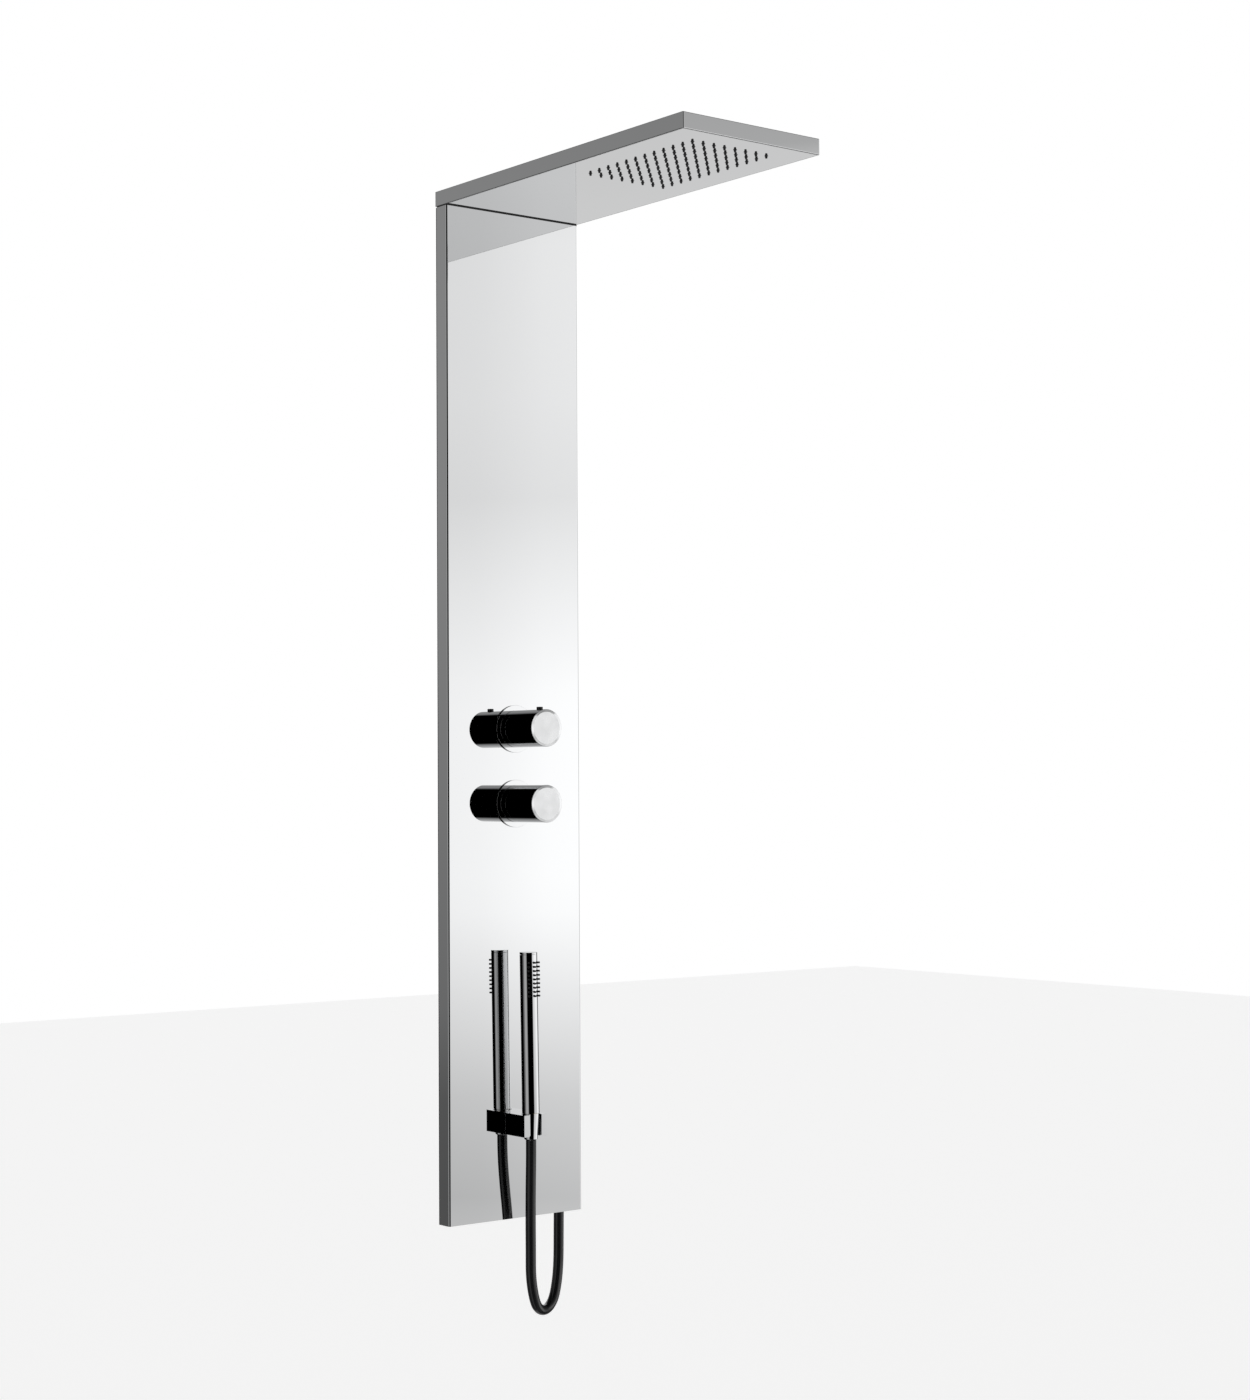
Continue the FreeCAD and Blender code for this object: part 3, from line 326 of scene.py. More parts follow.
# %% [markdown]
# Each finish is one procedural material. A helper lays down the nodes that every one of them
# has: a colour that drifts a little between two shades, a roughness that drifts between two
# values as handling leaves it, and a fine bump. What differs is their scale and strength, and
# for sheet metal a second, much longer wave, because folded sheet is never quite flat.

# %% The finishes
grain_share = 0.4                      # how much of the fine grain goes into the roughness
noise_from, noise_to = 0.5, 0.9        # the middle of what slow and fine noise add up to

def finish(name, shades, gloss, metallic=1.0, drift=6.0, grain=400.0, grain_depth=0.0,
           stretch=(1, 1, 1), wave=0.0, wave_scale=3.0):
    """A procedural finish: shades and gloss (the roughness) are pairs, low and high."""
    material = bpy.data.materials.new(name)
    material.use_nodes = True
    tree = material.node_tree
    shader = tree.nodes["Principled BSDF"]
    shader.inputs["Metallic"].default_value = metallic
    place = node(tree, "ShaderNodeTexCoord", (-1300, 0))
    pull = node(tree, "ShaderNodeMapping", (-1120, 0), Scale=stretch)
    tree.links.new(place.outputs["Object"], pull.inputs["Vector"])
    slow = node(tree, "ShaderNodeTexNoise", (-900, 200), Scale=drift, Detail=3.0)
    tree.links.new(pull.outputs[0], slow.inputs["Vector"])
    shade = node(tree, "ShaderNodeMix", (-500, 300), data_type="RGBA")
    shade.inputs[6].default_value = (*shades[0], 1)
    shade.inputs[7].default_value = (*shades[1], 1)
    tree.links.new(slow.outputs["Fac"], shade.inputs[0])
    tree.links.new(shade.outputs[2], shader.inputs["Base Color"])
    fine = node(tree, "ShaderNodeTexNoise", (-900, -100), Scale=grain, Detail=2.0)
    tree.links.new(pull.outputs[0], fine.inputs["Vector"])
    mixed = node(tree, "ShaderNodeMath", (-680, 20), operation="MULTIPLY_ADD")
    mixed.inputs[1].default_value = grain_share
    tree.links.new(fine.outputs["Fac"], mixed.inputs[0])
    tree.links.new(slow.outputs["Fac"], mixed.inputs[2])
    rough = node(tree, "ShaderNodeMapRange", (-500, 20))
    rough.inputs["From Min"].default_value = noise_from
    rough.inputs["From Max"].default_value = noise_to
    rough.inputs["To Min"].default_value, rough.inputs["To Max"].default_value = gloss
    tree.links.new(mixed.outputs[0], rough.inputs["Value"])
    tree.links.new(rough.outputs[0], shader.inputs["Roughness"])
    surface = None
    if wave:
        long_wave = node(tree, "ShaderNodeTexNoise", (-900, -400), Scale=wave_scale, Detail=0.0)
        tree.links.new(place.outputs["Object"], long_wave.inputs["Vector"])
        surface = node(tree, "ShaderNodeBump", (-500, -400), Distance=wave)
        tree.links.new(long_wave.outputs["Fac"], surface.inputs["Height"])
        tree.links.new(surface.outputs[0], shader.inputs["Normal"])
    if grain_depth:
        texture = node(tree, "ShaderNodeBump", (-280, -300), Distance=grain_depth)
        tree.links.new(fine.outputs["Fac"], texture.inputs["Height"])
        if surface:
            tree.links.new(surface.outputs[0], texture.inputs["Normal"])
        tree.links.new(texture.outputs[0], shader.inputs["Normal"])
    return material

finishes = {
    "mirror_steel": finish("mirror_steel", ((0.71, 0.715, 0.72), (0.735, 0.74, 0.745)), (0.0, 0.03),
                           drift=2.0, wave=0.0008, wave_scale=3.0),
    "chrome": finish("polished_chrome", ((0.69, 0.695, 0.70), (0.73, 0.735, 0.74)), (0.0, 0.012),
                     drift=25.0),
    "galvanised": finish("zinc_sheet", ((0.42, 0.43, 0.45), (0.66, 0.67, 0.69)), (0.32, 0.5),
                         drift=60.0, grain=700.0, grain_depth=0.00002),
    "stainless_raw": finish("dull_stainless", ((0.50, 0.50, 0.51), (0.62, 0.62, 0.63)), (0.25, 0.4),
                            drift=40.0, grain=300.0, grain_depth=0.00002, stretch=(1, 0.05, 1)),
    "brass": finish("machined_brass", ((0.62, 0.46, 0.20), (0.78, 0.61, 0.32)), (0.18, 0.34),
                    drift=50.0, grain=900.0, grain_depth=0.00001),
    "copper_pipe": finish("drawn_copper", ((0.60, 0.30, 0.20), (0.80, 0.46, 0.32)), (0.18, 0.36),
                          drift=30.0, grain=500.0, grain_depth=0.00001),
    "screw_steel": finish("zinc_plated_screws", ((0.52, 0.52, 0.53), (0.68, 0.68, 0.69)),
                          (0.2, 0.34), drift=120.0, grain=900.0, grain_depth=0.00001),
    "black_rubber": finish("moulded_rubber", ((0.010, 0.010, 0.010), (0.020, 0.020, 0.020)),
                           (0.5, 0.65), metallic=0.0, grain=1500.0, grain_depth=0.00003),
    "silicone": finish("black_silicone", ((0.014, 0.014, 0.015), (0.030, 0.030, 0.032)),
                       (0.34, 0.48), metallic=0.0, drift=200.0, grain=2500.0,
                       grain_depth=0.00001),
    "black_plastic": finish("moulded_black", ((0.012, 0.012, 0.012), (0.022, 0.022, 0.022)),
                            (0.34, 0.5), metallic=0.0, grain=1800.0, grain_depth=0.00002),
    "white_plastic": finish("moulded_white", ((0.74, 0.74, 0.71), (0.82, 0.82, 0.80)),
                            (0.34, 0.46), metallic=0.0, grain=1800.0, grain_depth=0.00002),
    "hose_pvc": finish("gloss_hose", ((0.008, 0.008, 0.009), (0.016, 0.016, 0.017)),
                       (0.05, 0.10), metallic=0.0, drift=30.0),
    "satin_end": finish("satin_chrome_end", ((0.745, 0.75, 0.755), (0.775, 0.78, 0.785)),
                        (0.26, 0.34), drift=60.0, grain=1500.0),
}
slot_of = {part["node"]: part["material_slot"] for part in frame["record"]["subparts"]}
for name, piece in cad.items():
    piece.data.materials.clear()
    piece.data.materials.append(finishes[slot_of[name]])
hose.data.materials.clear()
hose.data.materials.append(finishes["hose_pvc"])
print("finishes:", len(finishes))

# %% [markdown]
# The controls, the hand shower and the rain nozzles come close to the eye, so they are made
# again here with finer edges than the CAD model has. Each starts as a plain round bar or block
# and is then shaped in edit mode as a lathe or a mill would shape it. Three of the helpers do
# what nearly every piece needs. The first, bar, lays a round bar between two points. The
# second, pick, selects the faces or edges that a test picks out. The last, done, gives the
# finished piece its smooth shading, its finish and the body that it moves with. It also weights
# the normals by face area, because a polished flat next to a rounded edge must stay flat to the
# eye, or its reflection bends. The others cut, join, copy and round.

# %% Helpers for shaped pieces
def only(piece):
    """Makes one object the only selected and the active one."""
    bpy.ops.object.select_all(action="DESELECT")
    piece.select_set(True)
    bpy.context.view_layer.objects.active = piece

def bar(name, radius, start, end, sides=96, end_radius=None):
    """A closed round bar, or a tapered one, from one point to another."""
    start, end = Vector(start), Vector(end)
    bpy.ops.object.select_all(action="DESELECT")
    bpy.ops.mesh.primitive_cone_add(
        vertices=sides, radius1=radius, radius2=radius if end_radius is None else end_radius,
        depth=(end - start).length, location=(start + end) / 2,
        rotation=(end - start).to_track_quat("Z", "Y").to_euler())
    piece = bpy.context.object
    piece.name = name
    bpy.ops.object.transform_apply(location=True, rotation=True, scale=True)
    return piece

def pick(piece, wanted, kind="FACE"):
    """Opens a piece in edit mode with only the wanted faces or edges selected."""
    only(piece)
    bpy.ops.object.mode_set(mode="EDIT")
    bpy.ops.mesh.select_mode(type=kind)
    bpy.ops.mesh.select_all(action="DESELECT")
    mesh = bmesh.from_edit_mesh(piece.data)
    found = [part for part in (mesh.faces if kind == "FACE" else mesh.edges) if wanted(part)]
    for part in found:
        part.select_set(True)
    bmesh.update_edit_mesh(piece.data)
    return len(found)

def ring_of(axis, place, radius, middle, slack=2e-5):
    """A test for the edges of one turned ring: its place along an axis and its radius."""
    def on_ring(edge):
        for vertex in edge.verts:
            off = vertex.co - middle
            off[axis] = 0.0
            if abs(vertex.co[axis] - place) > slack or abs(off.length - radius) > slack:
                return False
        return True
    return on_ring

def cut_out(piece, cutter):
    """Cuts one object out of another and removes the cutter."""
    only(piece)
    cut = piece.modifiers.new("cut", "BOOLEAN")
    cut.operation, cut.solver, cut.object = "DIFFERENCE", "EXACT", cutter
    bpy.ops.object.modifier_apply(modifier="cut")
    bpy.data.objects.remove(cutter)

def joined(name, objects):
    """Joins several objects into one."""
    bpy.ops.object.select_all(action="DESELECT")
    for one in objects:
        one.select_set(True)
    bpy.context.view_layer.objects.active = objects[0]
    bpy.ops.object.join()
    whole = bpy.context.object
    whole.name = name
    return whole

def copied(master, matrices):
    """Copies a finished shape to several places, each copy with its own mesh."""
    copies = []
    for matrix in matrices:
        copy = master.copy()
        copy.data = master.data.copy()
        copy.data.transform(matrix)
        bpy.context.scene.collection.objects.link(copy)
        copies.append(copy)
    bpy.data.objects.remove(master)
    return copies

def fine_edges(piece, width, segments=2, angle=35.0):
    """Rounds every sharp edge of a milled or moulded piece."""
    only(piece)
    bevel = piece.modifiers.new("edges", "BEVEL")
    bevel.width, bevel.segments = width, segments
    bevel.limit_method, bevel.angle_limit = "ANGLE", math.radians(angle)
    bpy.ops.object.modifier_apply(modifier="edges")

def done(piece, node_name, body, slot, angle=32.0):
    """Shades a piece, gives it its finish and its body, and hides the CAD node it stands for."""
    if bpy.context.mode != "OBJECT":
        bpy.ops.object.mode_set(mode="OBJECT")
    only(piece)
    bpy.ops.object.shade_smooth_by_angle(angle=math.radians(angle))
    flats = piece.modifiers.new("true_flats", "WEIGHTED_NORMAL")
    flats.weight, flats.keep_sharp = 100, True
    bpy.ops.object.modifier_apply(modifier="true_flats")
    piece.data.materials.clear()
    piece.data.materials.append(finishes[slot])
    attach(piece, body)
    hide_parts(node_name)
    bpy.ops.object.select_all(action="DESELECT")
    print(piece.name, len(piece.data.polygons), "faces on", body)

def box_of(node_name):
    """A node's lowest and highest corners as vectors."""
    low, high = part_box(node_name)
    return Vector(low), Vector(high)

# %% [markdown]
# Both controls are turned from one design: a hollow drum, open towards the wall, with a shallow
# polished slope round a satin end. The bar starts at the slope's outer edge, the end face is
# inset and pushed out to make the slope, and the face towards the wall is inset by the drum's
# wall and pushed in to hollow it. The upper drum also has the hole for its black stop button,
# and each has a small hole below for the screw that holds it on its spindle.

# %% The two control knobs
knob_wall, knob_end_wall = 0.0027, 0.003
slope_width, slope_drop = 0.0036, 0.0006
slope_edge, slope_inner_edge, mouth_edge = 0.0004, 0.00012, 0.0003
button_hole, button_from_end = 0.00433, 0.0157
grub_hole, grub_from_mouth = 0.0021, 0.0331
drill_inside, drill_outside = 0.006, 0.002

def turned_knob(node_name, body, with_button):
    """One hollow control knob, with or without the hole for the stop button."""
    low, high = box_of(node_name)
    middle = (low + high) / 2
    radius = (high.x - low.x) / 2
    knob = bar(node_name + "_drum", radius, (middle.x, high.y, middle.z),
               (middle.x, low.y + slope_drop, middle.z), sides=128)
    pick(knob, lambda face: face.normal.y > 0.9)
    bpy.ops.mesh.inset(thickness=knob_wall)
    depth = high.y - low.y - knob_end_wall
    bpy.ops.mesh.extrude_region_move(TRANSFORM_OT_translate={"value": (0, -depth, 0)})
    bpy.ops.object.mode_set(mode="OBJECT")
    pick(knob, lambda face: face.normal.y < -0.9)
    bpy.ops.mesh.inset(thickness=slope_width, depth=slope_drop)
    bpy.ops.object.mode_set(mode="OBJECT")
    rims = [(low.y + slope_drop, radius, slope_edge, 4), (high.y, radius, mouth_edge, 2),
            (low.y, radius - slope_width, slope_inner_edge, 2)]
    for place, rim_radius, width, segments in rims:
        pick(knob, ring_of(1, place, rim_radius, middle), "EDGE")
        bpy.ops.mesh.bevel(offset=width, segments=segments, affect="EDGES")
        bpy.ops.object.mode_set(mode="OBJECT")
    grub_y = high.y - grub_from_mouth
    cut_out(knob, bar("grub_cutter", grub_hole, (0, grub_y, middle.z - radius + drill_inside),
                      (0, grub_y, middle.z - radius - drill_outside), sides=32))
    if with_button:
        hole_y = low.y + button_from_end
        cut_out(knob, bar("button_cutter", button_hole,
                          (0, hole_y, middle.z + radius - drill_inside),
                          (0, hole_y, middle.z + radius + drill_outside), sides=48))
    done(knob, node_name, body, "chrome")
    knob.data.materials.append(finishes["satin_end"])
    for face in knob.data.polygons:
        if face.normal.y < -0.99 and face.center.y < low.y + 0.0001:
            face.material_index = 1
    return knob

turned_knob("temperature_knob", "temperature_knob_body", True)
turned_knob("diverter_knob", "diverter_knob_body", False)

# %% [markdown]
# Under each knob a thin round plate covers the hole in the column. It is a disc with a soft
# outer edge and a hole for the valve's neck, and a groove behind for its rubber seal. The edge
# is a bevel on one ring of edges. The hole and the groove are cut by other bars with the
# Boolean modifier, as a drill and a ring cutter would cut them, so they stay round and true.

# %% The escutcheons
past = 0.001    # how far a cutter stands past what it cuts
neck_hole, plate_edge = 0.0183, 0.0002
groove_outer, groove_inner, groove_depth = 0.028, 0.025, 0.0009

def escutcheon(node_name):
    """One cover plate, with its edge, its hole and the groove behind."""
    low, high = box_of(node_name)
    middle, radius = (low + high) / 2, (high.x - low.x) / 2
    plate = bar(node_name + "_disc", radius, (middle.x, high.y, middle.z),
                (middle.x, low.y, middle.z), sides=128)
    pick(plate, ring_of(1, low.y, radius, middle), "EDGE")
    bpy.ops.mesh.bevel(offset=plate_edge, segments=3, affect="EDGES")
    bpy.ops.object.mode_set(mode="OBJECT")
    cut_out(plate, bar("neck_cutter", neck_hole, (middle.x, high.y + past, middle.z),
                       (middle.x, low.y - past, middle.z), sides=128))
    groove = bar("groove_cutter", groove_outer, (middle.x, high.y + past, middle.z),
                 (middle.x, high.y - groove_depth, middle.z), sides=128)
    core = bar("groove_core", groove_inner, (middle.x, high.y + 2 * past, middle.z),
               (middle.x, high.y - 2 * past, middle.z), sides=128)
    cut_out(groove, core)
    cut_out(plate, groove)
    done(plate, node_name, "root", "chrome")

escutcheon("temperature_escutcheon")
escutcheon("diverter_escutcheon")

# %% [markdown]
# The stop button is a small moulded pin that stands out of the upper knob. It keeps the water
# from being turned up too hot until it is pressed. It is a flange that holds it in, a stem, and
# a rounded top with a shallow dish for the finger, so a short wide bar is inset and extruded.

# %% The stop button
flange_height, flange_rim = 0.0012, 0.0012
button_round, dish_rim, dish_depth = 0.0006, 0.0011, 0.00025

low, high = box_of("stop_button")
middle = (low + high) / 2
flange_radius = (high.x - low.x) / 2
button = bar("stop_pin", flange_radius, (middle.x, middle.y, low.z),
             (middle.x, middle.y, low.z + flange_height), sides=64)
pick(button, lambda face: face.normal.z > 0.9)
bpy.ops.mesh.inset(thickness=flange_rim)
stem = high.z - low.z - flange_height
bpy.ops.mesh.extrude_region_move(TRANSFORM_OT_translate={"value": (0, 0, stem)})
bpy.ops.object.mode_set(mode="OBJECT")
pick(button, ring_of(2, high.z, flange_radius - flange_rim, middle), "EDGE")
bpy.ops.mesh.bevel(offset=button_round, segments=4, affect="EDGES")
bpy.ops.object.mode_set(mode="OBJECT")
pick(button, lambda face: face.normal.z > 0.99 and face.calc_center_median().z > high.z - 1e-5)
bpy.ops.mesh.inset(thickness=dish_rim, depth=-dish_depth)
bpy.ops.mesh.inset(thickness=dish_rim)
done(button, "stop_button", "stop_button_body", "black_plastic")

# %% [markdown]
# Under the button sits a coil spring, which shortens as the button goes in. Its wire is one
# small circle carried round and up the button's axis by a Screw modifier, as a coiling machine
# winds it, and both ends are closed.

# %% The stop button's spring
spring_wire, spring_turns, button_travel = 0.00035, 4, 0.002
steps_in_turn = 24
low, high = box_of("stop_button_spring")
middle = (low + high) / 2
coil_radius = (high.x - low.x) / 2 - spring_wire
rise = (high.z - low.z - 2 * spring_wire) / spring_turns
bpy.ops.object.select_all(action="DESELECT")
bpy.ops.mesh.primitive_circle_add(vertices=12, radius=spring_wire, location=(coil_radius, 0, 0),
                                  rotation=(math.pi / 2, 0, 0))
spring = bpy.context.object
spring.name = "button_coil"
bpy.ops.object.transform_apply(location=True, rotation=True, scale=True)
wind = spring.modifiers.new("wind", "SCREW")
wind.axis, wind.angle, wind.iterations = "Z", 2 * math.pi, spring_turns
wind.screw_offset, wind.steps, wind.render_steps = rise, steps_in_turn, steps_in_turn
bpy.ops.object.modifier_apply(modifier="wind")
pick(spring, lambda edge: edge.is_boundary, "EDGE")
bpy.ops.mesh.fill_holes(sides=0)
bpy.ops.mesh.select_all(action="SELECT")
bpy.ops.mesh.normals_make_consistent(inside=False)
bpy.ops.transform.translate(value=(middle.x, middle.y, low.z + spring_wire))
done(spring, "stop_button_spring", "temperature_knob_body", "screw_steel")
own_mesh(spring)

# %% [markdown]
# The hand shower is a plain chrome stick that leans a little in its swivel. Everything on it is
# placed along one leaning axis: a function gives the point at a height above its foot, another
# gives the matrix that stands a small part on its side. Its three columns of spray holes are
# drilled in one go, by a cutter that is one short bar copied to every place.

# %% The hand shower's axis and spray places
handset_foot = Vector((0.0, -0.058, -1.1356))
handset_lean = math.radians(-0.8)
tube_radius, tube_wall, tube_length = 0.012, 0.0022, 0.2144
cap_height, cap_plug, seam_gap = 0.003, 0.005, 0.00015
spray_rows, spray_pitch, spray_from_top = 9, 0.00555, 0.0137
spray_columns = [math.radians(angle) for angle in (-35.0, 0.0, 35.0)]
spray_hole, spray_proud = 0.0016, 0.0036
leaning = (Matrix.Translation(handset_foot) @ Matrix.Rotation(handset_lean, 4, "Y"))

def on_handset(height, aside=(0.0, 0.0)):
    """A point on the hand shower, at a height above its foot and to one side of its axis."""
    return leaning @ Vector((aside[0], aside[1], height))

def spray_matrices():
    """Stands a part that points along +Z out of the hand shower at every spray hole."""
    made = []
    for row in range(spray_rows):
        height = tube_length - spray_from_top - row * spray_pitch
        for angle in spray_columns:
            outward = Matrix.Rotation(angle, 4, "Z") @ Matrix.Rotation(math.pi / 2, 4, "X")
            made.append(leaning @ Matrix.Translation((0, 0, height)) @ outward)
    return made

print("spray holes:", len(spray_matrices()), "top at", round(on_handset(tube_length).z, 4))

# %% [markdown]
# The hand shower's body is a drawn brass tube, bored right through and chromed. It could be one
# thin wall from the start, made by a Solidify modifier. A solid bar that is bored, and then
# drilled by all the spray cutters at once, gets round holes with a true wall all the way
# through, and one fine bevel breaks every edge at the end, as polishing does before plating.

# %% The hand shower's tube
drill_from, drill_to, tube_edge = 0.004, 0.002, 0.00015
tube_top = tube_length - cap_height
tube = bar("handset_stick", tube_radius, on_handset(0.0), on_handset(tube_top - seam_gap))
cut_out(tube, bar("tube_bore", tube_radius - tube_wall, on_handset(-past),
                  on_handset(tube_top + past)))
drill = bar("drill", spray_hole, (0, 0, tube_radius - drill_from),
            (0, 0, tube_radius + drill_to), sides=24)
cut_out(tube, joined("drills", copied(drill, spray_matrices())))
fine_edges(tube, tube_edge)
done(tube, "handset_tube", "handset", "chrome")

# %% [markdown]
# The cap is a chrome disc with a plug that goes into the tube. Its rim is rounded just enough
# to catch a thin line of light, and a hair of shadow stays between it and the tube.

# %% The hand shower's end cap
inner_fit, cap_edge = 0.0001, 0.0003
plug_radius = tube_radius - tube_wall - inner_fit
cap = bar("handset_cap", tube_radius, on_handset(tube_top), on_handset(tube_length))
axis_down = (leaning.to_3x3() @ Vector((0, 0, -1))).normalized()
pick(cap, lambda face: face.normal.dot(axis_down) > 0.99)
bpy.ops.mesh.inset(thickness=tube_radius - plug_radius)
bpy.ops.mesh.extrude_region_move(TRANSFORM_OT_translate={"value": axis_down * cap_plug})
bpy.ops.object.mode_set(mode="OBJECT")
fine_edges(cap, cap_edge, segments=3)
done(cap, "handset_end_cap", "handset", "chrome")

# %% [markdown]
# The spray nozzles are the soft tips of one rubber insert behind the tube, so that lime can be
# rubbed off. One tip is made: a short bar whose outer end is scaled down, rounded, inset and
# pushed in for its jet. It is copied to every hole and joined to the half sleeve that carries
# all of them.

# %% The hand shower's nozzle insert
tip_shrink, jet_depth, jet_rim, tip_round = 0.84, 0.0015, 0.0003, 0.0002
tip_fit, tip_sunk, sleeve_wall = 0.00012, 0.0007, 0.0014
sleeve_below, sleeve_above, sleeve_back = 0.006, 0.005, 0.001
tip_root, tip_end = tube_radius - tube_wall - tip_sunk, tube_radius + spray_proud
tip = bar("spray_tip", spray_hole - tip_fit, (0, 0, tip_root), (0, 0, tip_end), sides=20)
pick(tip, lambda face: face.normal.z > 0.9)
bpy.ops.transform.resize(value=(tip_shrink, tip_shrink, 1), center_override=(0, 0, tip_end))
bpy.ops.object.mode_set(mode="OBJECT")
pick(tip, lambda edge: all(vertex.co.z > tip_end - 1e-6 for vertex in edge.verts), "EDGE")
bpy.ops.mesh.bevel(offset=tip_round, segments=2, affect="EDGES")
bpy.ops.object.mode_set(mode="OBJECT")
pick(tip, lambda face: face.normal.z > 0.99)
bpy.ops.mesh.inset(thickness=jet_rim)
bpy.ops.mesh.extrude_region_move(TRANSFORM_OT_translate={"value": (0, 0, -jet_depth)})
bpy.ops.object.mode_set(mode="OBJECT")
top_row = tube_length - spray_from_top
sleeve_low = top_row - (spray_rows - 1) * spray_pitch - sleeve_below
sleeve_high = top_row + sleeve_above
sleeve_radius = tube_radius - tube_wall - inner_fit
sleeve = bar("sleeve", sleeve_radius, on_handset(sleeve_low), on_handset(sleeve_high))
cut_out(sleeve, bar("sleeve_bore", sleeve_radius - sleeve_wall, on_handset(sleeve_low - past),
                    on_handset(sleeve_high + past)))
pick(sleeve, lambda face: True)
bpy.ops.mesh.bisect(plane_co=handset_foot + Vector((0, -sleeve_back, 0)), plane_no=(0, 1, 0),
                    use_fill=True, clear_outer=True)
bpy.ops.object.mode_set(mode="OBJECT")
insert = joined("handset_nozzles", [sleeve] + copied(tip, spray_matrices()))
done(insert, "handset_nozzle_insert", "handset", "silicone")

# %% [markdown]
# The hose ends in a chrome cone that drops into the bracket, and that is what holds the hand
# shower. It is a tapered bar with a chamfer at its small end and a bore at its wide end for the
# swivel.

# %% The cone nut
cone_chamfer, swivel_bore, swivel_depth = 0.0016, 0.0099, 0.0106
cone_top_radius, cone_foot_radius, cone_edge = 0.0114, 0.0092, 0.0002
low, high = box_of("hose_cone_nut")
middle = (low + high) / 2
cone = bar("cone_nut", cone_foot_radius, (middle.x, middle.y, low.z),
           (middle.x, middle.y, high.z), end_radius=cone_top_radius)
pick(cone, lambda face: face.normal.z > 0.9)
bpy.ops.mesh.inset(thickness=cone_top_radius - swivel_bore)
bpy.ops.mesh.extrude_region_move(TRANSFORM_OT_translate={"value": (0, 0, -swivel_depth)})
bpy.ops.object.mode_set(mode="OBJECT")
pick(cone, ring_of(2, low.z, cone_foot_radius, middle, slack=3e-5), "EDGE")
bpy.ops.mesh.bevel(offset=cone_chamfer, segments=1, affect="EDGES")
bpy.ops.object.mode_set(mode="OBJECT")
fine_edges(cone, cone_edge)
done(cone, "hose_cone_nut", "hose_cone", "chrome")

# %% [markdown]
# The bracket is a milled square block with a tapered hole for the cone and a slot in front that
# lets the hose pass. The block is a cube scaled to size, and both openings are cut with solids
# of their own shape. A thin plastic liner keeps the chrome cone from wearing the block.

# %% The bracket and its liner
seat_gap, liner_wall, liner_fit, slot_width, slot_fit = 0.0003, 0.0012, 0.00005, 0.0196, 0.0001
block_edge, liner_edge = 0.0004, 0.0001
slot_in_front, slot_over_ends = 0.004, 0.01
low, high = box_of("handset_bracket")
cone_low, cone_high = box_of("hose_cone_nut")
taper = (cone_top_radius - cone_foot_radius) / (cone_high.z - cone_low.z)
hole_y = handset_foot.y

def tapered(name, grow, start_z, end_z):
    """A tapered bar on the cone's axis, larger than the cone by a given amount."""
    radii = [cone_foot_radius + taper * (z - cone_low.z) + grow for z in (start_z, end_z)]
    return bar(name, radii[0], (0, hole_y, start_z), (0, hole_y, end_z), end_radius=radii[1])

def slot_cutter(half):
    """A block that opens the front of the bracket."""
    bpy.ops.object.select_all(action="DESELECT")
    depth, tall = hole_y - low.y + slot_in_front, high.z - low.z + slot_over_ends
    bpy.ops.mesh.primitive_cube_add(size=1, location=(0, hole_y - depth / 2, (low.z + high.z) / 2),
                                    scale=(2 * half, depth, tall))
    bpy.ops.object.transform_apply(location=True, rotation=True, scale=True)
    return bpy.context.object

bpy.ops.object.select_all(action="DESELECT")
bpy.ops.mesh.primitive_cube_add(size=1, location=(low + high) / 2, scale=high - low)
block = bpy.context.object
block.name = "holder_block"
bpy.ops.object.transform_apply(location=True, rotation=True, scale=True)
block_seat = seat_gap + liner_wall + liner_fit
cut_out(block, tapered("block_bore", block_seat, low.z - past, high.z + past))
cut_out(block, slot_cutter(slot_width / 2))
fine_edges(block, block_edge, segments=3)
done(block, "handset_bracket", "root", "chrome")

liner = tapered("holder_liner", seat_gap + liner_wall, low.z, high.z)
cut_out(liner, tapered("liner_bore", seat_gap, low.z - past, high.z + past))
cut_out(liner, slot_cutter(slot_width / 2 + slot_fit))
fine_edges(liner, liner_edge)
done(liner, "bracket_liner", "root", "black_plastic")

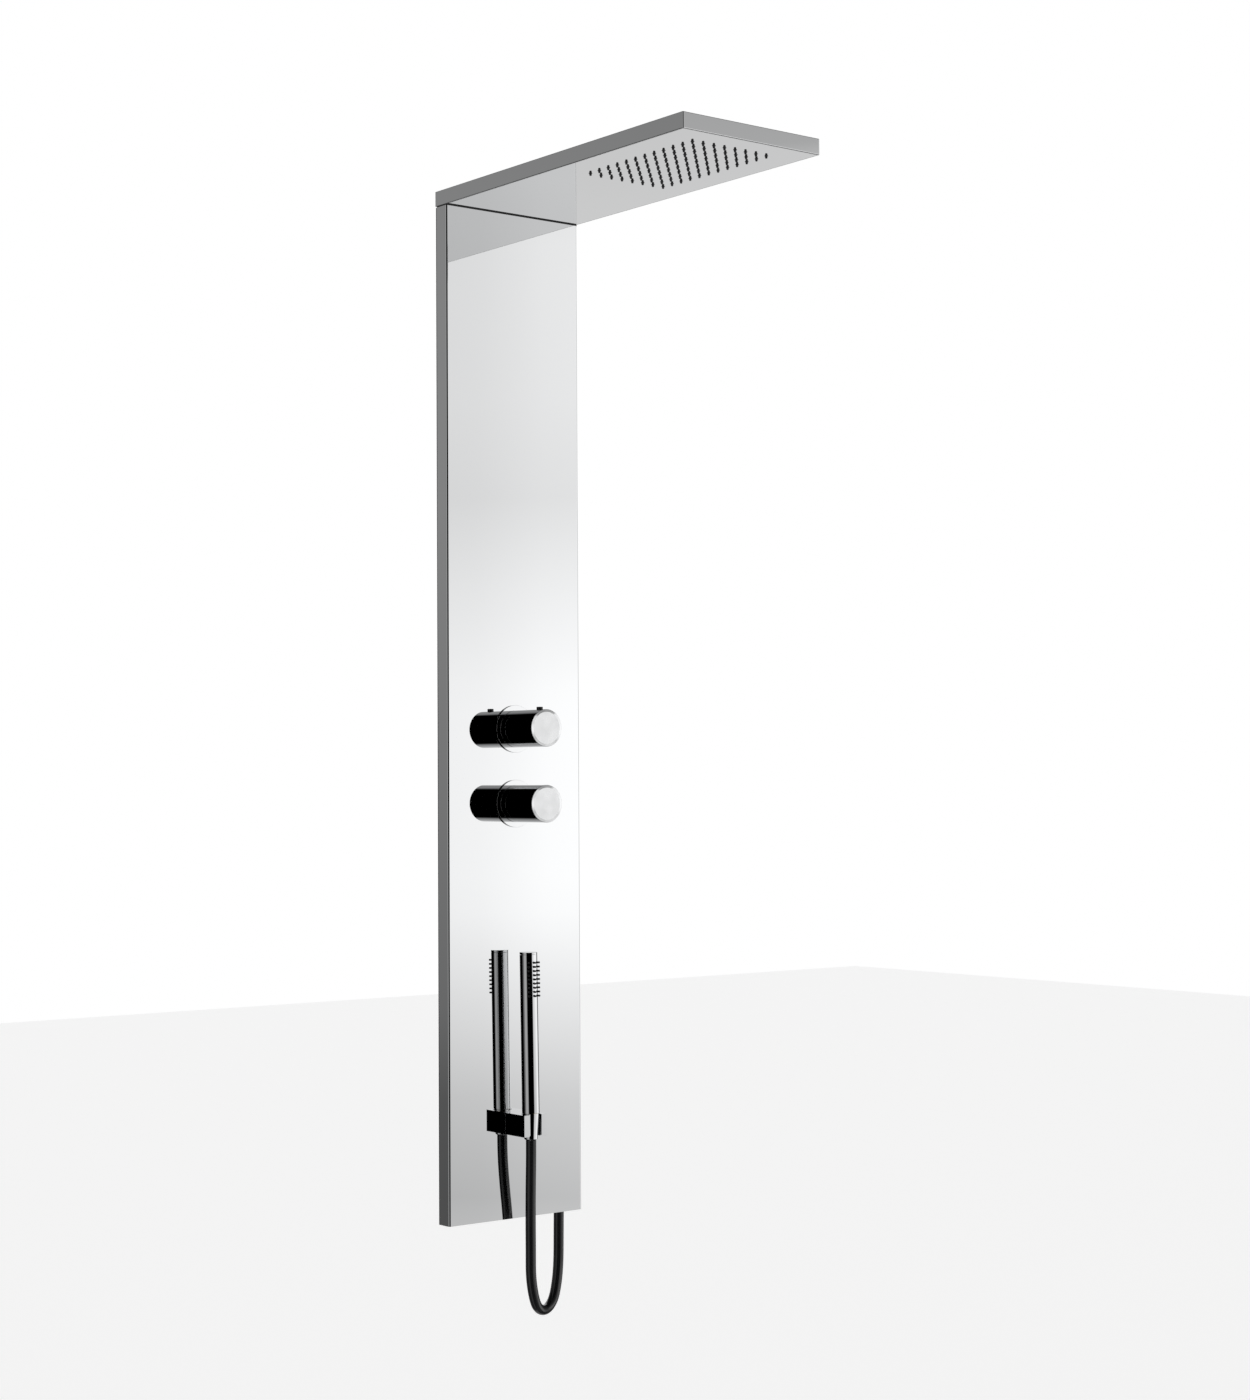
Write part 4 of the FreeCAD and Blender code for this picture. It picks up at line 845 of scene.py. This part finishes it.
# %% [markdown]
# Under the arm, every rain nozzle is a soft tip on one rubber mat, like those of the hand
# shower but wider. One tip of a few dozen faces is modelled and copied to all the places, and
# the mat above them is a block with rounded edges.

# %% The rain nozzles
across, along = 8, 12
pitch_x, pitch_y = 0.017, 0.0184
nearest_row = 0.043
rain_root, rain_end, rain_jet = 0.0022, 0.0013, 0.00045
rain_rim, rain_round, rain_jet_depth = 0.0002, 0.00018, 0.0016
tip_overlap, mat_edge = 0.0003, 0.0003
mat_low, mat_high = box_of("rain_nozzle_mat")
mat_under = box_of("spray_plate")[1].z
rain_tip = bar("rain_tip", rain_end, (0, 0, mat_low.z), (0, 0, mat_under + tip_overlap),
               sides=16, end_radius=rain_root)
pick(rain_tip, lambda face: face.normal.z < -0.9)
bpy.ops.mesh.inset(thickness=rain_rim)
bpy.ops.mesh.inset(thickness=rain_end - rain_jet - rain_rim)
bpy.ops.mesh.extrude_region_move(TRANSFORM_OT_translate={"value": (0, 0, rain_jet_depth)})
bpy.ops.object.mode_set(mode="OBJECT")
pick(rain_tip, ring_of(2, mat_low.z, rain_end, Vector((0, 0, 0))), "EDGE")
bpy.ops.mesh.bevel(offset=rain_round, segments=1, affect="EDGES")
bpy.ops.object.mode_set(mode="OBJECT")
first_y = box_of("arm_casing")[0].y + nearest_row
places = [Matrix.Translation(((column - (across - 1) / 2) * pitch_x, first_y + row * pitch_y, 0))
          for row in range(along) for column in range(across)]
bpy.ops.object.select_all(action="DESELECT")
mat_centre = Vector(((mat_low.x + mat_high.x) / 2, (mat_low.y + mat_high.y) / 2,
                     (mat_under + mat_high.z) / 2))
mat_size = (mat_high.x - mat_low.x, mat_high.y - mat_low.y, mat_high.z - mat_under)
bpy.ops.mesh.primitive_cube_add(size=1, location=mat_centre, scale=mat_size)
mat = bpy.context.object
bpy.ops.object.transform_apply(location=True, rotation=True, scale=True)
fine_edges(mat, mat_edge)
mat = joined("rain_nozzles", [mat] + copied(rain_tip, places))
done(mat, "rain_nozzle_mat", "root", "silicone")
